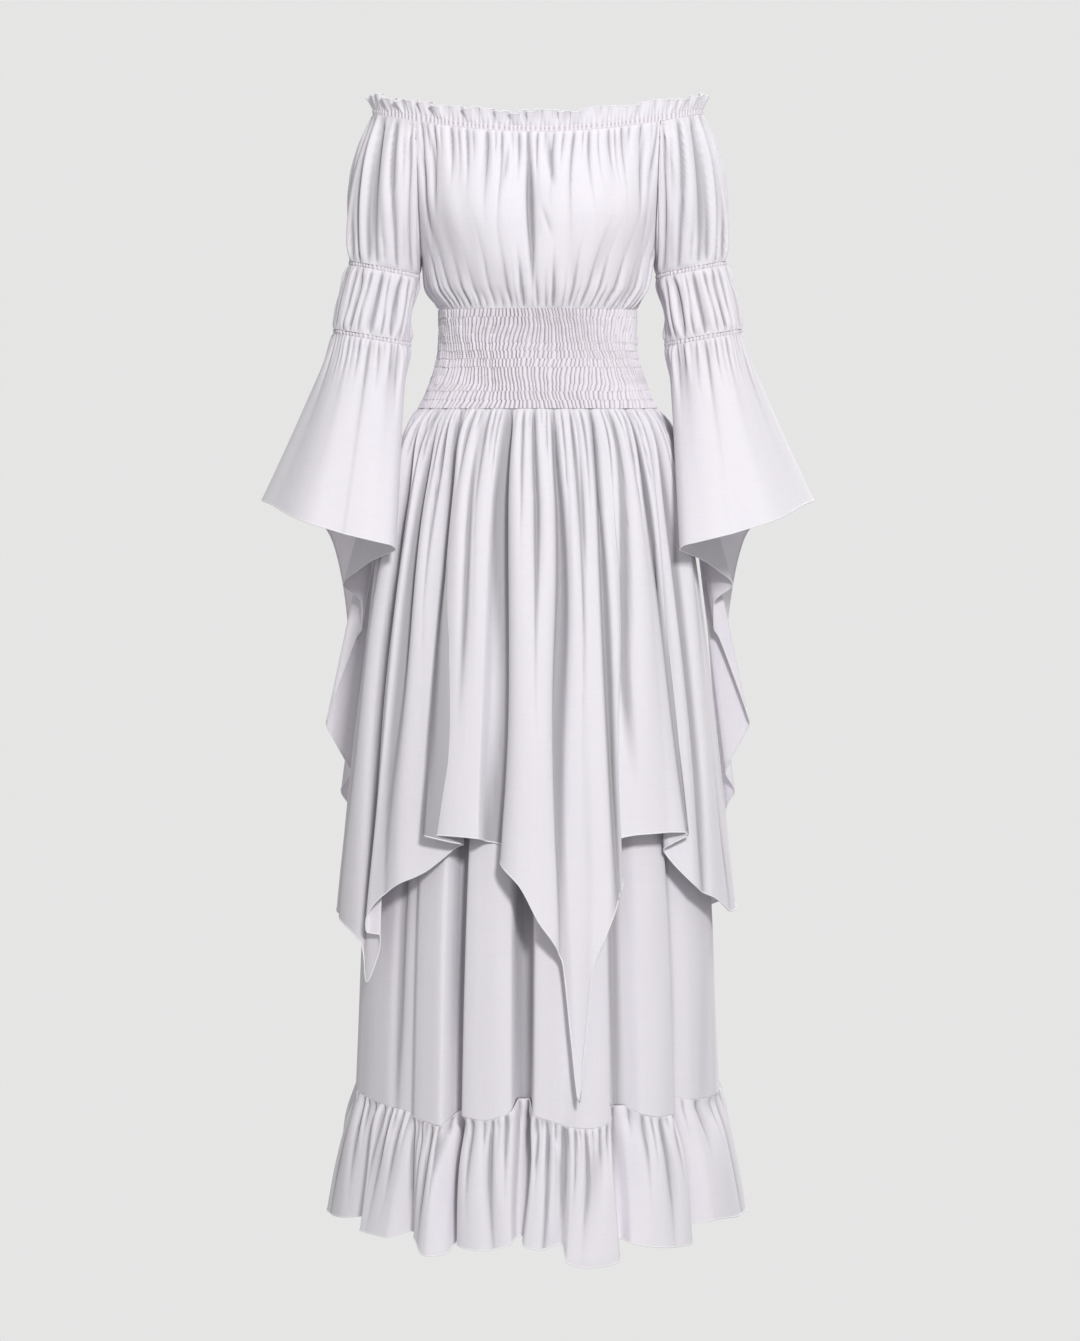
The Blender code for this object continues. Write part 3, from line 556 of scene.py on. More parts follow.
def folded(place, v, bounds, layers, seed):
    """Folds from a seam that merge as they leave it, uneven in width, height and reach.

    place is metres along the seam and v metres away from it. The bounds are valleys of
    the widest folds.
    """
    rng = np.random.default_rng(seed)
    height = np.zeros(place.shape)
    for layer in layers:
        bounds = split(bounds, layer.parts, rng)
        count = len(bounds) - 1
        inside = np.clip(place, bounds[0], bounds[-1] - 1e-9)
        fold = np.searchsorted(bounds, inside, side="right") - 1
        part = (inside - bounds[fold]) / (bounds[fold + 1] - bounds[fold])
        tall = rng.uniform(0.35, 1.30, count)[fold]
        reach = layer.reach * rng.uniform(0.45, 1.50, count)[fold]
        leaning = part ** rng.uniform(0.70, 1.45, count)[fold]
        rises = layer.height * (1 - np.exp(-v / layer.ramp))
        crest = tall * np.exp(-((v / reach) ** 2)) * np.sin(math.pi * leaning) ** layer.power
        height = height + rises * (crest - 0.65 * np.exp(-((v / layer.reach) ** 2)))
    return height


def softened(relief, times):
    """The relief of a closed sheet with its sharpest valleys rounded."""
    for _ in range(times):
        relief = (np.roll(relief, -1, axis=1) + 2 * relief + np.roll(relief, 1, axis=1)) / 4
    return relief


def single_folds(u, v, rows):
    """Folds placed one by one, each an even trough between its two ends."""
    height = np.zeros(np.broadcast(u, v).shape)
    for fold in rows:
        middle = (fold.start + fold.end) / 2
        half = (fold.end - fold.start) / 2
        along = np.exp(-1.4 * np.abs((v - middle) / half) ** 2.6)
        across = np.abs(u - fold.at - fold.lean * (v - fold.start)) / fold.width
        height = height - fold.depth * along * np.exp(-(across**1.6))
    return height


def ripple(u, v, seed, depth, waves=8):
    """A low unevenness of the cloth, from a few crossing waves."""
    rng = np.random.default_rng(seed)
    height = np.zeros(np.broadcast(u, v).shape)
    for _ in range(waves):
        across = rng.uniform(50, 220)
        down = rng.uniform(-24, 24)
        height = height + np.sin(across * u + down * v + rng.uniform(0, 6.28))
    return height * depth / math.sqrt(waves)


def puffed(v, lift, ramp, reach):
    """How far gathered cloth stands up below its seam."""
    return lift * (1 - np.exp(-v / ramp)) * np.exp(-v / reach)


# Sheets
def facing(points, closed):
    """Unit normals of rows of points, away from the body or the arm."""
    if closed:
        wide = np.concatenate([points[:, -1:], points, points[:, :1]], axis=1)
        along = np.gradient(wide, axis=1)[:, 1:-1]
        outward = points - points.mean(axis=1, keepdims=True)
    else:
        along = np.gradient(points, axis=1)
        outward = points.copy()
    normal = np.cross(along, np.gradient(points, axis=0))
    normal /= np.maximum(np.linalg.norm(normal, axis=2, keepdims=True), 1e-9)
    outward[..., 2] = 0
    return normal * (1 if np.sum(normal * outward) > 0 else -1)


def raised(points, height, closed=False):
    return points + facing(points, closed) * height[..., None]


CREASE_SHADE_FULL = 0.0015  # metres below its surroundings, where the painted shade in a crease is darkest


def crease_shade(relief, reach):
    """How much painted shade each point gets, from 0 to 1, by how deep in a crease it lies: reach is
    in columns each way.
    """
    deepest = np.zeros(relief.shape)
    for wider in (1, 3):
        far = wider * reach
        around = sum(np.roll(relief, step, axis=1) for step in range(-far, far + 1))
        depth = (around / (2 * far + 1) - relief) / (wider * CREASE_SHADE_FULL)
        deepest = np.maximum(deepest, np.clip(depth, 0, 1))
    return deepest


def quads(rows, columns, closed):
    """Corner numbers of the faces between rows of points."""
    wrap = columns if closed else columns - 1
    row = np.arange(rows - 1)[:, None]
    near = np.arange(wrap)[None, :]
    far = (near + 1) % columns
    corners = (row * columns + near, row * columns + far,
               (row + 1) * columns + far, (row + 1) * columns + near)
    return np.stack(corners, axis=-1).reshape(-1, 4).tolist()


def sharpen_rim(mesh, rows, columns, closed):
    """Marks the open edges sharp, so that the shell's narrow rim doesn't shade the cloth."""
    ends = np.empty(len(mesh.edges) * 2, np.int32)
    mesh.edges.foreach_get("vertices", ends)
    row, place = np.divmod(ends.reshape(-1, 2), columns)
    rim = (row == 0).all(axis=1) | (row == rows - 1).all(axis=1)
    if not closed:
        rim |= (place == 0).all(axis=1) | (place == columns - 1).all(axis=1)
    mesh.attributes.new("sharp_edge", "BOOLEAN", "EDGE").data.foreach_set("value", rim)


def linked(name, points, faces, material):
    mesh = bpy.data.meshes.new(name)
    mesh.from_pydata(points.reshape(-1, 3).tolist(), [], faces)
    mesh.shade_smooth()
    piece = bpy.data.objects.new(name, mesh)
    bpy.context.scene.collection.objects.link(piece)
    mesh.materials.append(material)
    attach(piece, "root")
    return piece


def as_sheet(node, points, look, relief, reach, closed=False):
    """A thin shell of cloth through rows of points, in the place of a node.

    The relief of its folds, over that many columns each way, sets the painted shade that darkens each
    crease.
    """
    faces = quads(points.shape[0], points.shape[1], closed)
    piece = linked(node + "_cloth", points, faces, look)
    sharpen_rim(piece.data, points.shape[0], points.shape[1], closed)
    relief = np.broadcast_to(relief, points.shape[:2])
    # the crease attribute holds painted shade: how far each point's colour is darkened, by how deep
    # it lies in a fold's valley
    crease = piece.data.attributes.new("crease", "FLOAT", "POINT")
    crease.data.foreach_set("value", crease_shade(relief, reach).reshape(-1))
    wall = piece.modifiers.new("Shell", "SOLIDIFY")
    wall.thickness = SHELL
    wall.offset = 0.0
    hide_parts(node)
    return piece


HEM_SIDES = 6
HEM_RADIUS = 0.0009
FRILL_HEM_RADIUS = 0.6 * HEM_RADIUS


def rolled_hem(piece, line, radius, closed=False):
    """A narrow rolled edge that goes with a sheet of cloth."""
    if closed:
        along = np.roll(line, -1, axis=0) - np.roll(line, 1, axis=0)
    else:
        along = np.gradient(line, axis=0)
    along /= np.maximum(np.linalg.norm(along, axis=1, keepdims=True), 1e-9)
    across = np.cross(along, np.array([0.28, 0.19, 0.94]))
    across /= np.maximum(np.linalg.norm(across, axis=1, keepdims=True), 1e-9)
    upward = np.cross(along, across)
    turn = np.arange(HEM_SIDES + 1) / HEM_SIDES * TURN
    circle = across[:, None] * np.cos(turn)[:, None] + upward[:, None] * np.sin(turn)[:, None]
    points = (line[:, None] + circle * radius)[:, :-1]
    rows = np.concatenate([points, points[:1]]) if closed else points
    faces = quads(rows.shape[0], HEM_SIDES, True)
    linked(piece.name.replace("_cloth", "_hem"), rows, faces, HEM_LOOK)


# Materials
CLOTH_SHADER = {
    "Roughness": 0.88,
    "Specular IOR Level": 0.20,
    "Sheen Weight": 0.20,
    "Sheen Roughness": 0.45,
    "Subsurface Weight": 0.30,
    "Subsurface Radius": (1.0, 1.0, 1.0),
    "Subsurface Scale": 0.0020,
}


def gauze(name, base, tint, deep, crinkle):
    """Fine woven cloth: threads both ways, slubs, soft crinkles and a faint change of tint;
    its colour is darkened towards deep as painted shade in each crease."""
    made = bpy.data.materials.new(name)
    made.use_nodes = True
    tree = made.node_tree
    shader = tree.nodes["Principled BSDF"]
    for key, value in CLOTH_SHADER.items():
        shader.inputs[key].default_value = value

    def noise(scale, stretch, detail):
        mapping = tree.nodes.new("ShaderNodeMapping")
        mapping.inputs["Scale"].default_value = stretch
        tree.links.new(place.outputs["Object"], mapping.inputs["Vector"])
        found = tree.nodes.new("ShaderNodeTexNoise")
        found.inputs["Scale"].default_value = scale
        found.inputs["Detail"].default_value = detail
        tree.links.new(mapping.outputs["Vector"], found.inputs["Vector"])
        return found.outputs["Fac"]

    def bumped(height, strength, distance, under=None):
        found = tree.nodes.new("ShaderNodeBump")
        found.inputs["Strength"].default_value = strength
        found.inputs["Distance"].default_value = distance
        tree.links.new(height, found.inputs["Height"])
        if under:
            tree.links.new(under, found.inputs["Normal"])
        return found.outputs["Normal"]

    def blended(share, near, far):
        found = tree.nodes.new("ShaderNodeMix")
        found.data_type = "RGBA"
        tree.links.new(share, found.inputs["Factor"])
        for socket, value in ((found.inputs[6], near), (found.inputs[7], far)):
            if isinstance(value, tuple):
                socket.default_value = (*value, 1.0)
            else:
                tree.links.new(value, socket)
        return found.outputs[2]

    place = tree.nodes.new("ShaderNodeTexCoord")
    warp = noise(scale=60.0, stretch=(14.0, 14.0, 0.6), detail=1.0)
    weft = noise(scale=60.0, stretch=(0.5, 0.5, 14.0), detail=1.0)
    blotch = noise(scale=7.0, stretch=(1.0, 1.0, 1.0), detail=3.0)
    tinted = blended(blotch, base, tint)
    darker = tuple(0.93 * value for value in base)
    slubs = blended(weft, darker, tinted)
    streaks = blended(warp, slubs, tinted)
    # painted shade: the crease attribute mixes the colour towards deep, the shade a fold's valley
    # would hold
    crease = tree.nodes.new("ShaderNodeAttribute")
    crease.attribute_name = "crease"
    shaded = blended(crease.outputs["Fac"], streaks, deep)
    tree.links.new(shaded, shader.inputs["Base Color"])
    uneven = noise(scale=110.0, stretch=(1.0, 1.0, 0.2), detail=4.0)
    soft = bumped(uneven, strength=crinkle, distance=0.0010)
    upright = bumped(warp, strength=0.25, distance=0.0003, under=soft)
    threads = bumped(weft, strength=0.25, distance=0.0003, under=upright)
    tree.links.new(threads, shader.inputs["Normal"])
    return made


# The looks: each has its colour, the tint it drifts to, and the colour of the painted shade that each
# crease is darkened to
PALE = (0.815, 0.785, 0.845)
TINT = (0.845, 0.805, 0.850)
# painted shade: the dark colours that the creases of the cloth are mixed towards
PAINTED_SHADE = (0.455, 0.440, 0.465)
SHIRRED_PALE = (0.805, 0.765, 0.825)
SHIRRED_TINT = (0.850, 0.790, 0.840)
SHIRRED_PAINTED_SHADE = (0.350, 0.290, 0.335)
HEM_PALE = (0.900, 0.885, 0.915)
HEM_TINT = (0.915, 0.890, 0.920)
CLOTH_LOOK = gauze("pale cloth", PALE, TINT, PAINTED_SHADE, crinkle=0.28)
SHIRRED_LOOK = gauze("shirred cloth", SHIRRED_PALE, SHIRRED_TINT, SHIRRED_PAINTED_SHADE, crinkle=0.25)
HEM_LOOK = gauze("rolled hem", HEM_PALE, HEM_TINT, PAINTED_SHADE, crinkle=0.15)

# A cut of cloth: its width and length in metres, and its area in square metres
Cut = namedtuple("Cut", "width length area", defaults=(None,))


# The frill of the neck: its curls, and how far each leans over its neighbour
FRILL_CURLS = 54
FRILL_CURL = 0.0062
CURL_TALL = (0.45, 1.25)  # the lowest and the tallest, as shares
FRILL_LEAN = 0.0020
FRILL_DROOP = 0.34
FRILL_UNEVEN = 0.08
FRILL_ROWS = 9
NECK_COLUMNS = 1000
NECK_RADIUS = 0.145  # about, to turn metres along the neck into an angle
CASING_ROWS = 5
CASING_RIB = 0.0020
CASING_SINK = 0.0012
FRILL_RIB = 0.0018
PUCKER = 0.0052  # metres from rib to rib


# Neck
def even_turns(count):
    """Angles round the neck at equal distances along it, and those distances."""
    dense = np.linspace(0, TURN, 4001)
    line = on_ring(TORSO, dense, neck_height(dense))
    travelled = np.concatenate([[0], np.cumsum(np.linalg.norm(np.diff(line, axis=0), axis=1))])
    wanted = np.arange(count) / count * travelled[-1]
    return np.interp(wanted, travelled, dense), wanted


def neck_ring(angle, rise, out):
    base = on_ring(TORSO, angle, neck_height(angle) + 0 * out, out)
    base[..., 2] = neck_height(angle) + rise
    return base


def pucker(distance):
    """The small upright ribs of a casing, along it."""
    phase = TURN * distance / PUCKER + 1.6 * np.sin(distance * 140) + 1.1 * np.sin(distance * 61)
    return 0.5 + 0.5 * np.sin(phase)


def neck_casing_cloth(angle, distance):
    share = np.linspace(0, 1, CASING_ROWS + 1)[:, None]
    round_out = 0.25 + 0.75 * np.sin(math.pi * share)
    out = (CASING_RIB * pucker(distance) - CASING_SINK) * round_out
    band = neck_ring(angle[None, :], share * (CASING_HEIGHT + SEAM_GAP / 2), out)
    as_sheet("neck_casing", band, SHIRRED_LOOK, out, 3, closed=True)


def neck_frill_cloth(angle, distance):
    rng = np.random.default_rng(17)
    bends = np.arange(FRILL_CURLS + 1) / FRILL_CURLS
    bends[1:-1] += rng.uniform(-0.30, 0.30, FRILL_CURLS - 1) / FRILL_CURLS
    phase = np.interp(distance / distance[-1], bends, np.arange(FRILL_CURLS + 1))
    curl = phase.astype(int) % FRILL_CURLS
    tall = rng.uniform(*CURL_TALL, FRILL_CURLS)[curl]
    crest = np.sin(math.pi * (phase % 1))
    share = np.linspace(0, 1, FRILL_ROWS + 1)[:, None]
    wide = gathers(angle / TURN, FRILL_WAVES, 11, FRILL_WAVE) - FRILL_WAVE / 2
    root = (FRILL_RIB * pucker(distance) - FRILL_RIB / 2) * (0.25 + 0.75 * np.exp(-share / 0.25))
    out = FRILL_FLARE * share + 0.6 * (0.35 + 0.65 * share) * wide + root
    out = out + FRILL_CURL * share**0.8 * (tall * crest**1.2 - 0.40)
    uneven = FRILL_UNEVEN * np.sin(distance * 96 + 1.1)
    droop = uneven - FRILL_DROOP * (tall - CURL_TALL[0]) * crest + FRILL_UNEVEN
    rise = CASING_HEIGHT + SEAM_GAP + share * FRILL_HEIGHT * (1 + droop * share)
    sideways = FRILL_LEAN * share * tall * np.sin(4 * math.pi * phase)
    frill = neck_ring(angle[None, :] + sideways / NECK_RADIUS, rise, out)
    piece = as_sheet("neck_frill", frill, CLOTH_LOOK, out, 2, closed=True)
    rolled_hem(piece, frill[-1], FRILL_HEM_RADIUS, closed=True)


# Bodice
BODICE_SPREAD = 0.150  # metres of cloth for each radian round the body
BODICE_HALF = 0.24  # metres of cloth from its middle to beyond each seam
BODICE_DRIFT = 0.0052
NECK_FAN = 28
WAIST_FAN = 18
BUST_WIDTH = 0.42  # in radians, as is the next
CREASE_WIDTH = 0.07


def bodice_cloth(name, back, columns, rows, seed):
    position = np.linspace(0, 1, columns + 1)
    across = (2 * position - 1) * (1 - seam_gap_share(TORSO[4].half_width))
    turned = math.pi if back else 0.0
    share = np.linspace(0, 1, rows + 1)[:, None]
    top = neck_height(across * RAGLAN_NECK + turned) - SEAM_GAP / 2
    bottom = BODICE_BOTTOM - SEAM_GAP / 2
    z = bottom + share * (top - bottom)
    angle = across * raglan_angle(z)
    edge = np.minimum(1, 12 * (1 - position) * position)
    out = np.zeros_like(z)
    if not back:
        height = bump(z, BUST_HEIGHT, BUST_REACH)
        bust = bump(np.abs(angle), math.radians(BUST_DEG), BUST_WIDTH) * BUST_DEPTH
        crease = bump(angle, math.radians(CREASE_DEG), CREASE_WIDTH) * CREASE_DEPTH
        out = height * (bust - 0.5 * crease) * edge
    points = on_ring(TORSO, angle + turned, z, out)
    u = angle * BODICE_SPREAD
    below = top - z
    above = z - bottom
    neck = np.linspace(-BODICE_HALF, BODICE_HALF, NECK_FOLDS + 1)
    waist = np.linspace(-BODICE_HALF, BODICE_HALF, WAIST_FOLDS + 1)
    place = wandering(u, below, seed, BODICE_DRIFT, NECK_FAN)
    relief = folded(place, below, neck, BODICE_NECK, seed)
    place = wandering(u, above, seed, BODICE_DRIFT, WAIST_FAN)
    relief += folded(place, above, waist, BODICE_WAIST, seed + 1)
    relief += ripple(u, z, seed + 2, depth=0.0004)
    relief += (puffed(below, lift=0.0010, ramp=0.004, reach=0.035)
               + puffed(above, lift=0.0024, ramp=0.006, reach=0.040))
    if not back:
        relief += single_folds(u, below, BODICE_TROUGHS)
    fade = np.minimum(1, 40 * (1 - position) * position)
    as_sheet(name, raised(points, relief * fade), CLOTH_LOOK, relief * fade, 4)


# Sleeves: rows and columns of points, and how soon folds rise next to an elastic
UPPER_CLOTH_ROWS = 46
SLEEVE_FINENESS = 8
LOWER_CLOTH_ROWS = 28
PUFF_COLUMNS = 200
BELL_CLOTH_ROWS = 44
BELL_COLUMNS = 280
ELASTIC_ROWS = 5
ELASTIC_COLUMNS = 240
END_RAMP = 0.0045
# Which turns at the cuff the folds from the neck hang towards
SLEEVE_TURNS = ((-90, NECK_TURN, 180 - NECK_TURN, 270), (-90, -62, 242, 270))
# The turns that shares of the bell's columns reach, with most of them at its tail
BELL_TURNS = ((0, 0.46, 0.92, 1), (0, 180, 310, 360))
TAIL_DEG = (190, 290)
TAIL_FOLDS = 0.6
# The elastics: their ribs, how far they lie in, how unevenly they run, and how strongly their relief
# sets the painted shade in each crease
ELASTIC_RIBS = 58
ELASTIC_RIB = 0.0012
ELASTIC_SINK = 0.0002
ELASTIC_EDGE = 0.0010
ELASTIC_WANDER = 0.0006
ELASTIC_SHADE = 0.4


def both_cloths(name, points, look, relief, reach, hem=False):
    left = as_sheet(name + "_left", points, look, relief, reach, closed=True)
    other = mirrored(points)
    right = as_sheet(name + "_right", other, look, relief[:, ::-1], reach, closed=True)
    if hem:
        rolled_hem(left, points[-1], HEM_RADIUS, closed=True)
        rolled_hem(right, other[-1], HEM_RADIUS, closed=True)


def refined(loop, times, corners):
    """A closed loop with more points, along a curve that stays sharp at its corners."""
    count = len(loop)
    place = np.arange(count * times) / times
    first = place.astype(int)
    part = (place - first)[:, None]
    p = [loop[(first + k) % count] for k in (-1, 0, 1, 2)]
    curve = 0.5 * (2 * p[1] + (p[2] - p[0]) * part
                   + (2 * p[0] - 5 * p[1] + 4 * p[2] - p[3]) * part**2
                   + (3 * p[1] - p[0] - 3 * p[2] + p[3]) * part**3)
    straight = p[1] + (p[2] - p[1]) * part
    near = np.zeros(len(place), bool)
    for corner in corners:
        near |= np.abs(place - corner) < 1
    curve[near] = straight[near]
    return curve


def upper_sleeve_cloth():
    edge_z = BODICE_BOTTOM + seam_rows()[SIDE_SEAM_ROWS:] * (RAGLAN_TOP - BODICE_BOTTOM)
    seam = raglan_angle(edge_z)
    arc = np.linspace(RAGLAN_NECK, math.pi - RAGLAN_NECK, NECK_ARC_COLUMNS + 1)[1:-1]
    front = on_ring(TORSO, seam, edge_z)
    back = on_ring(TORSO, math.pi - seam, edge_z)[::-1][:-1]
    for side in (front, back):
        side[:, 0] += RAGLAN_GAP * 0.7
    loop = np.concatenate([front, on_ring(TORSO, arc, neck_height(arc) - SEAM_GAP / 2), back])
    seam_turns = np.linspace(-90, NECK_TURN, len(front))
    neck_turns = np.linspace(NECK_TURN, 180 - NECK_TURN, NECK_ARC_COLUMNS + 1)[1:-1]
    turns = np.concatenate([seam_turns, neck_turns, 180 - seam_turns[::-1][:-1], [270]])
    place = np.arange(len(loop) * SLEEVE_FINENESS) / SLEEVE_FINENESS
    turn = np.radians(np.interp(place, np.arange(len(loop) + 1), turns))
    fine = refined(loop, SLEEVE_FINENESS, (len(front) - 1, len(front) + len(arc)))
    cuff = arm_ring(ARM_ELASTIC, turn, ELASTIC_HEIGHT / 2)
    points = loft(fine, cuff, turn, UPPER_CLOTH_ROWS, UPPER_BULGE, PUFF_FOLDS, 21)
    share = np.linspace(0, 1, UPPER_CLOTH_ROWS + 1)[:, None]
    length = np.linalg.norm(cuff - fine, axis=1)[None, :]
    hanging = np.radians(np.interp(np.degrees(turn), *SLEEVE_TURNS))
    u = (hanging + share * (turn - hanging)) * PUFF_SPREAD
    from_top = share * length
    from_end = length - from_top
    bounds = np.linspace(-TURN / 4, TURN * 3 / 4, SLEEVE_FOLDS + 1) * PUFF_SPREAD
    free = np.clip(0.8 + 0.5 * np.sin(turn), 0.25, 1)
    place = wandering(u, from_top, 61, 0.0008)
    relief = folded(place, from_top, bounds, SLEEVE_TOP, 61) * free
    relief += folded(place, from_end, bounds, SLEEVE_END, 62) * free
    relief = softened(relief, 3) * (1 - np.exp(-from_end / END_RAMP))
    relief += puffed(from_end, lift=0.0016, ramp=0.004, reach=0.040)
    both_cloths("upper_sleeve", raised(points, relief, closed=True), CLOTH_LOOK, relief, 4)


def elastic_cloth():
    turn = np.arange(ELASTIC_COLUMNS)[None, :] / ELASTIC_COLUMNS * TURN
    share = np.linspace(-1, 1, ELASTIC_ROWS + 1)[:, None]
    half = ELASTIC_HEIGHT / 2
    for name, ring, shift in (("arm_elastic", ARM_ELASTIC, 1), ("elbow_elastic", ELBOW_ELASTIC, 2)):
        ribs = np.sin(ELASTIC_RIBS * turn + 1.5 * np.sin(9 * turn + shift))
        out = ELASTIC_RIB * ribs - ELASTIC_SINK - ELASTIC_EDGE * share**2
        rise = -share * (half + SEAM_GAP / 2) + ELASTIC_WANDER * np.sin(23 * turn + shift)
        band = arm_ring(ring, turn + 0 * share, rise, out)
        both_cloths(name, band, SHIRRED_LOOK, ELASTIC_SHADE * out, 2)


def lower_puff_cloth():
    turn = np.arange(PUFF_COLUMNS) / PUFF_COLUMNS * TURN
    upper = arm_ring(ARM_ELASTIC, turn, -ELASTIC_HEIGHT / 2)
    lower = arm_ring(ELBOW_ELASTIC, turn, ELASTIC_HEIGHT / 2)
    points = loft(upper, lower, turn, LOWER_CLOTH_ROWS, LOWER_BULGE, PUFF_FOLDS, 31)
    length = ARM_ELASTIC.z - ELBOW_ELASTIC.z - ELASTIC_HEIGHT
    v = np.linspace(0, 1, LOWER_CLOTH_ROWS + 1)[:, None] * length
    u = turn[None, :] * PUFF_SPREAD
    bounds = np.linspace(0, TURN * PUFF_SPREAD, SLEEVE_FOLDS + 1)
    place = wandering(u, v, 71)
    relief = folded(place, v, bounds, PUFF_ENDS, 71)
    relief += folded(place, length - v, bounds, PUFF_ENDS, 72)
    relief *= (1 - np.exp(-v / END_RAMP)) * (1 - np.exp(-(length - v) / END_RAMP))
    relief += (puffed(v, lift=0.0012, ramp=0.004, reach=0.030)
               + puffed(length - v, lift=0.0016, ramp=0.004, reach=0.030))
    both_cloths("lower_puff", raised(points, relief, closed=True), CLOTH_LOOK, relief, 4)


def bell_cloth():
    table = list(BELL_HEM) + [BELL_HEM[0]._replace(turn_deg=360)]
    at = np.interp(np.arange(BELL_COLUMNS) / BELL_COLUMNS, *BELL_TURNS)
    x, y, z, flare = (smooth(column(table, "turn_deg"), column(table, name), at)
                      for name in ("x", "y", "z", "flare"))
    turn = np.radians(at)
    share = (np.linspace(0, 1, BELL_CLOTH_ROWS + 1) ** 1.25)[:, None]
    start = arm_ring(ELBOW_ELASTIC, turn, -ELASTIC_HEIGHT / 2)
    swing = share**flare
    points = np.empty((BELL_CLOTH_ROWS + 1, len(at), 3))
    points[..., 0] = start[:, 0] + (x - start[:, 0]) * swing
    points[..., 1] = start[:, 1] + (y - start[:, 1]) * swing
    points[..., 2] = start[:, 2] + (z - start[:, 2]) * share
    soft = bump(at, 60, 75)
    wave = (gathers(at / 360, 6, 43, BELL_WAVE) - BELL_WAVE / 2) * share**0.9 * soft
    points[..., 0] += wave * np.sin(turn)
    points[..., 1] -= wave * np.cos(turn)
    u = turn[None, :] * PUFF_SPREAD
    v = share * np.abs(z - start[:, 2])[None, :]
    calm = np.where((at > TAIL_DEG[0]) & (at < TAIL_DEG[1]), TAIL_FOLDS, 1.0)[None, :]
    bounds = np.linspace(0, TURN * PUFF_SPREAD, SLEEVE_FOLDS + 1)
    relief = folded(wandering(u, v, 81), v, bounds, BELL_TOP, 81) * calm
    relief += puffed(v, lift=0.0020, ramp=0.006, reach=0.030)
    both_cloths("bell", raised(points, relief, closed=True), CLOTH_LOOK, relief, 4, hem=True)


# Waist: lines of elastic, with rows of points between each two
SMOCK_LINES = 12
SMOCK_ROW = (0.0, 0.10, 0.35, 0.65, 0.90, 1.0)
SMOCK_RIB = 0.0048
SMOCK_SINK = 0.0020
# How far ribs shift, slant and lean from line to line, as shares of one rib
SMOCK_SHIFT = 0.28
SMOCK_SLANT = 0.24
SMOCK_LEAN = 0.9


def waist_cloth(name, back, columns, ribs_across, seed):
    quarter = (1 - seam_gap_share(TORSO[3].half_width)) * FRONT_SIDE
    dense = np.linspace(-quarter, quarter, 401)
    u = np.linspace(0, 1, columns + 1)[None, :]
    angle = np.interp(u, 0.5 + 0.25 * (dense / quarter + np.sin(dense)), dense)
    rng = np.random.default_rng(seed)
    spaced = np.arange(1, SMOCK_LINES) + rng.uniform(-0.12, 0.12, SMOCK_LINES - 1)
    lines = np.concatenate([[0], spaced / SMOCK_LINES, [1]])
    levels = []
    rises = []
    for number in range(SMOCK_LINES):
        drift = rng.uniform(-SMOCK_SHIFT, SMOCK_SHIFT) / ribs_across
        slant = rng.uniform(-SMOCK_SLANT, SMOCK_SLANT) / ribs_across
        last = number == SMOCK_LINES - 1
        for within in SMOCK_ROW if last else SMOCK_ROW[:-1]:
            level = (number + within) / SMOCK_LINES
            lean = SMOCK_LEAN * np.sin(7 * level + 11 * u) / ribs_across
            place = (u + drift + slant * (within - 0.5) + lean) % 1
            ribs = gathers(place, ribs_across, seed + 10, 1.0) ** 0.7
            patchy = 0.16 * np.sin(97 * u + 5.1 * number) * np.sin(41 * u - 3.7 * number)
            ribs = ribs * (0.84 + patchy)
            opened = min(1.0, 3.5 * math.sin(math.pi * within))
            rises.append(-SMOCK_SINK + (0.92 + 0.08 * opened) * SMOCK_RIB * ribs)
            levels.append(lines[number] + within * (lines[number + 1] - lines[number]))
    share = np.array(levels)[:, None]
    wander = 0.0045 * np.sin(29 * u + 1) + 0.0035 * np.sin(71 * u + 4 * share)
    share = share + wander * np.sin(math.pi * share)
    z = WAIST_BOTTOM + share * (WAIST_TOP - WAIST_BOTTOM)
    relief = np.concatenate(rises)
    points = on_ring(TORSO, angle + (math.pi if back else 0.0), z, relief)
    as_sheet(name, points, SHIRRED_LOOK, relief, 3)


# Skirts: rows of points down each, and how sharply the relief fades at the side seams
OVERSKIRT_ROWS = 62
UNDERSKIRT_ROWS = 32
FLOUNCE_ROWS = 26
SIDE_FADE = 20
OVERSKIRT_DEEPEST = 0.020
LONG_VALLEY = 0.40
# The underskirt where the overskirt hides it: how far it lies in, and from where to where
HIDDEN_IN = 0.024
HIDDEN_RAMP = 0.006
HIDDEN_END = 0.40
HIDDEN_FADE = 0.022


def skirt_cloth(name, back, rings, folds, top, top_out, columns, rows, opens, relief):
    ends_at = column(folds, "waist_deg")
    line = np.linspace(ends_at[0], ends_at[-1], columns + 1)
    share = (np.linspace(0, 1, rows + 1) ** 1.15)[:, None]
    start = np.radians(line)
    ends = np.radians(skirt_fold(folds, "hem_deg", line))
    hem = skirt_fold(folds, "hem_mm", line) / 1000
    stands = skirt_fold(folds, "out_mm", line) / 1000
    height = top(line) + share * (hem - top(line))
    angle = start + share**FOLD_DRIFT * (ends - start)
    angle = angle * (1 - seam_gap_share(rings[0].half_width))
    out = top_out(line) * (1 - share) + stands * share**opens
    points = on_ring(rings, angle + (math.pi if back else 0.0), height, out)
    side = np.minimum(1, (1 - np.abs(line) / 90) * SIDE_FADE)
    u = start[None, :] * rings[0].half_width
    folds_rise = relief(u, top(line) - height) * side
    points = raised(points, folds_rise)
    return as_sheet(name, points, CLOTH_LOOK, folds_rise, 5), points


def valleys(folds, spread):
    """Where a table of folds has its valleys, in metres along the seam."""
    inner = [row.waist_deg for near, row, far in zip(folds, folds[1:], folds[2:])
             if row.out_mm < near.out_mm and row.out_mm < far.out_mm]
    return np.radians([-90, *inner, 90]) * spread


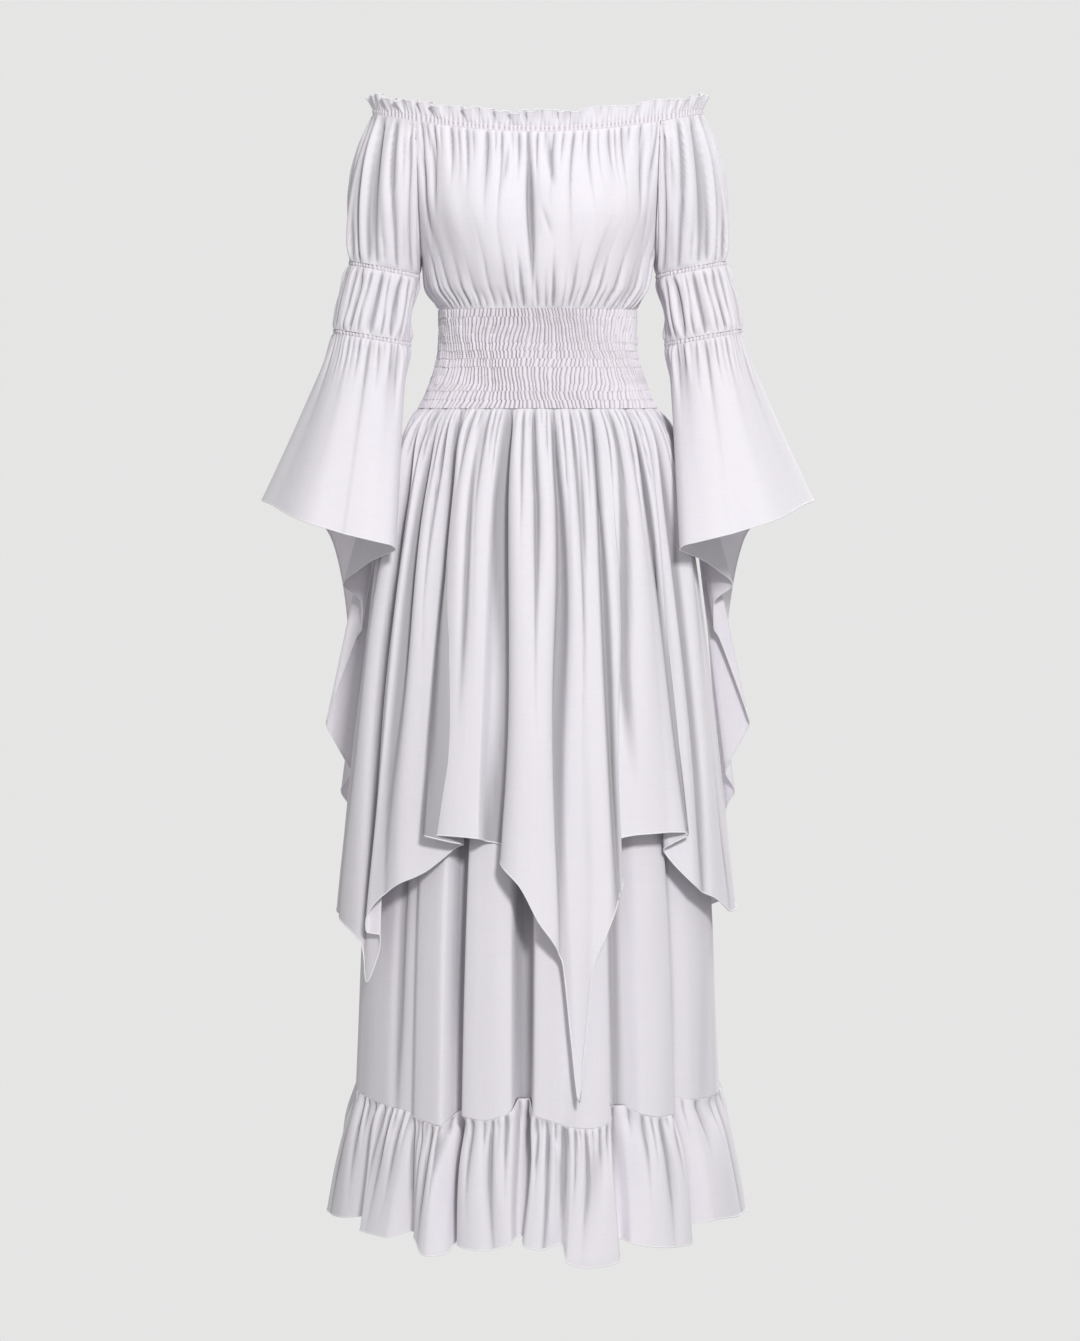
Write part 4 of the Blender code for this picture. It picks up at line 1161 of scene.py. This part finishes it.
def overskirt_relief(seed):
    """Folds that start from the seam and end as the long valleys."""
    spread = OVERSKIRT[0].half_width
    long_ones = [row.turn_deg for row in OVERSKIRT_VALLEYS if row.end > LONG_VALLEY]
    bounds = np.radians([-90, *long_ones, 90]) * spread
    rows = troughs(OVERSKIRT_VALLEYS, spread)

    def relief(u, v):
        place = wandering(u, v, seed)
        height = folded(place, v, bounds, OVERSKIRT_TOP, seed) + single_folds(place, v, rows)
        height += ripple(u, v, seed + 1, depth=0.0006) * np.minimum(1, v / 0.1)
        return np.where(height < 0, OVERSKIRT_DEEPEST * np.tanh(height / OVERSKIRT_DEEPEST), height)
    return relief


def flounce_relief(seed):
    """Folds that start from the seam and merge into those of the table."""
    bounds = valleys(FLOUNCE_FOLDS, FLOUNCE[0].half_width)

    def relief(u, v):
        return folded(wandering(u, v, seed), v, bounds, FLOUNCE_TOP, seed)
    return relief


def underskirt_relief(seed):
    """Its valleys below the overskirt, and how far it lies in behind it."""
    rows = troughs(UNDERSKIRT_VALLEYS, UNDERSKIRT[0].half_width)

    def relief(u, v):
        covered = 1 + np.exp((v - HIDDEN_END) / HIDDEN_FADE)
        hidden = HIDDEN_IN * (1 - np.exp(-v / HIDDEN_RAMP)) / covered
        return ripple(u, v, seed, depth=0.0008) + single_folds(u, v, rows) - hidden
    return relief


def skirt_pieces():
    seam = WAIST_BOTTOM - SEAM_GAP / 2
    hem_height = seam_of_underskirt("hem_mm")
    for side, back, wide in (("front", False, 400), ("back", True, 280)):
        piece, points = skirt_cloth("overskirt_" + side, back, OVERSKIRT, OVERSKIRT_FOLDS,
                                    plain(seam), plain(0.0), wide, OVERSKIRT_ROWS, SKIRT_OPENS,
                                    overskirt_relief(91 + 7 * back))
        rolled_hem(piece, points[-1], HEM_RADIUS)
        skirt_cloth("underskirt_" + side, back, UNDERSKIRT, UNDERSKIRT_FOLDS,
                    plain(seam), plain(0.0), wide - 100, UNDERSKIRT_ROWS, SKIRT_OPENS,
                    underskirt_relief(105 + 3 * back))
        piece, points = skirt_cloth("flounce_" + side, back, FLOUNCE, FLOUNCE_FOLDS,
                                    lambda line: hem_height(line) - SEAM_GAP / 2,
                                    seam_of_underskirt("out_mm"), wide + 20, FLOUNCE_ROWS,
                                    FLOUNCE_OPENS, flounce_relief(111 + 5 * back))
        rolled_hem(piece, points[-1], HEM_RADIUS)


neck_casing_cloth(*even_turns(NECK_COLUMNS))
neck_frill_cloth(*even_turns(NECK_COLUMNS))
bodice_cloth("bodice_front", False, 260, 76, 121)
bodice_cloth("bodice_back", True, 220, 54, 131)
upper_sleeve_cloth()
elastic_cloth()
lower_puff_cloth()
bell_cloth()
waist_cloth("waist_front", False, 460, 64, 141)
waist_cloth("waist_back", True, 320, 54, 171)
skirt_pieces()


# Camera, light and background
def look_at(thing, target):
    away = mathutils.Vector(target) - thing.location
    thing.rotation_euler = away.to_track_quat("-Z", "Y").to_euler()


CAMERA_PLACE = (0.0025, -4.0, -0.052)
CAMERA_DIPS_DEG = 4.64
CAMERA_LENS = 92.9

camera = bpy.data.objects.new("camera", bpy.data.cameras.new("camera"))
bpy.context.scene.collection.objects.link(camera)
camera.location = CAMERA_PLACE
camera.rotation_euler = (math.radians(90 - CAMERA_DIPS_DEG), 0.0, 0.0)
camera.data.lens = CAMERA_LENS
camera.data.sensor_width = 36.0
bpy.context.scene.camera = camera

Lamp = namedtuple("Lamp", "name place power size")
LAMPS = (
    Lamp(name="key", place=(0.90, -4.2, 1.80), power=150, size=0.6),
    Lamp(name="back", place=(1.4, 3.0, 2.4), power=120, size=1.6),
)
BACKGROUND = (0.785, 0.785, 0.780, 1.0)
SURROUND = (0.435, 0.435, 0.435, 1.0)


def light_up():
    for lamp in LAMPS:
        data = bpy.data.lights.new(lamp.name, "AREA")
        data.energy = lamp.power
        data.size = lamp.size
        light = bpy.data.objects.new(lamp.name, data)
        bpy.context.scene.collection.objects.link(light)
        light.location = lamp.place
        look_at(light, (0, 0, 0))


def surround():
    """A pale backdrop to the camera, and a dimmer, even light on the cloth."""
    world = bpy.data.worlds.new("world")
    bpy.context.scene.world = world
    world.use_nodes = True
    tree = world.node_tree
    seen = tree.nodes["Background"]
    seen.inputs["Color"].default_value = BACKGROUND
    lit = tree.nodes.new("ShaderNodeBackground")
    lit.inputs["Color"].default_value = SURROUND
    which = tree.nodes.new("ShaderNodeLightPath")
    mixed = tree.nodes.new("ShaderNodeMixShader")
    tree.links.new(which.outputs["Is Camera Ray"], mixed.inputs[0])
    tree.links.new(lit.outputs[0], mixed.inputs[1])
    tree.links.new(seen.outputs[0], mixed.inputs[2])
    tree.links.new(mixed.outputs[0], tree.nodes["World Output"].inputs["Surface"])


light_up()
surround()
bpy.context.scene.view_settings.view_transform = "Standard"
bpy.context.scene.view_settings.look = "None"
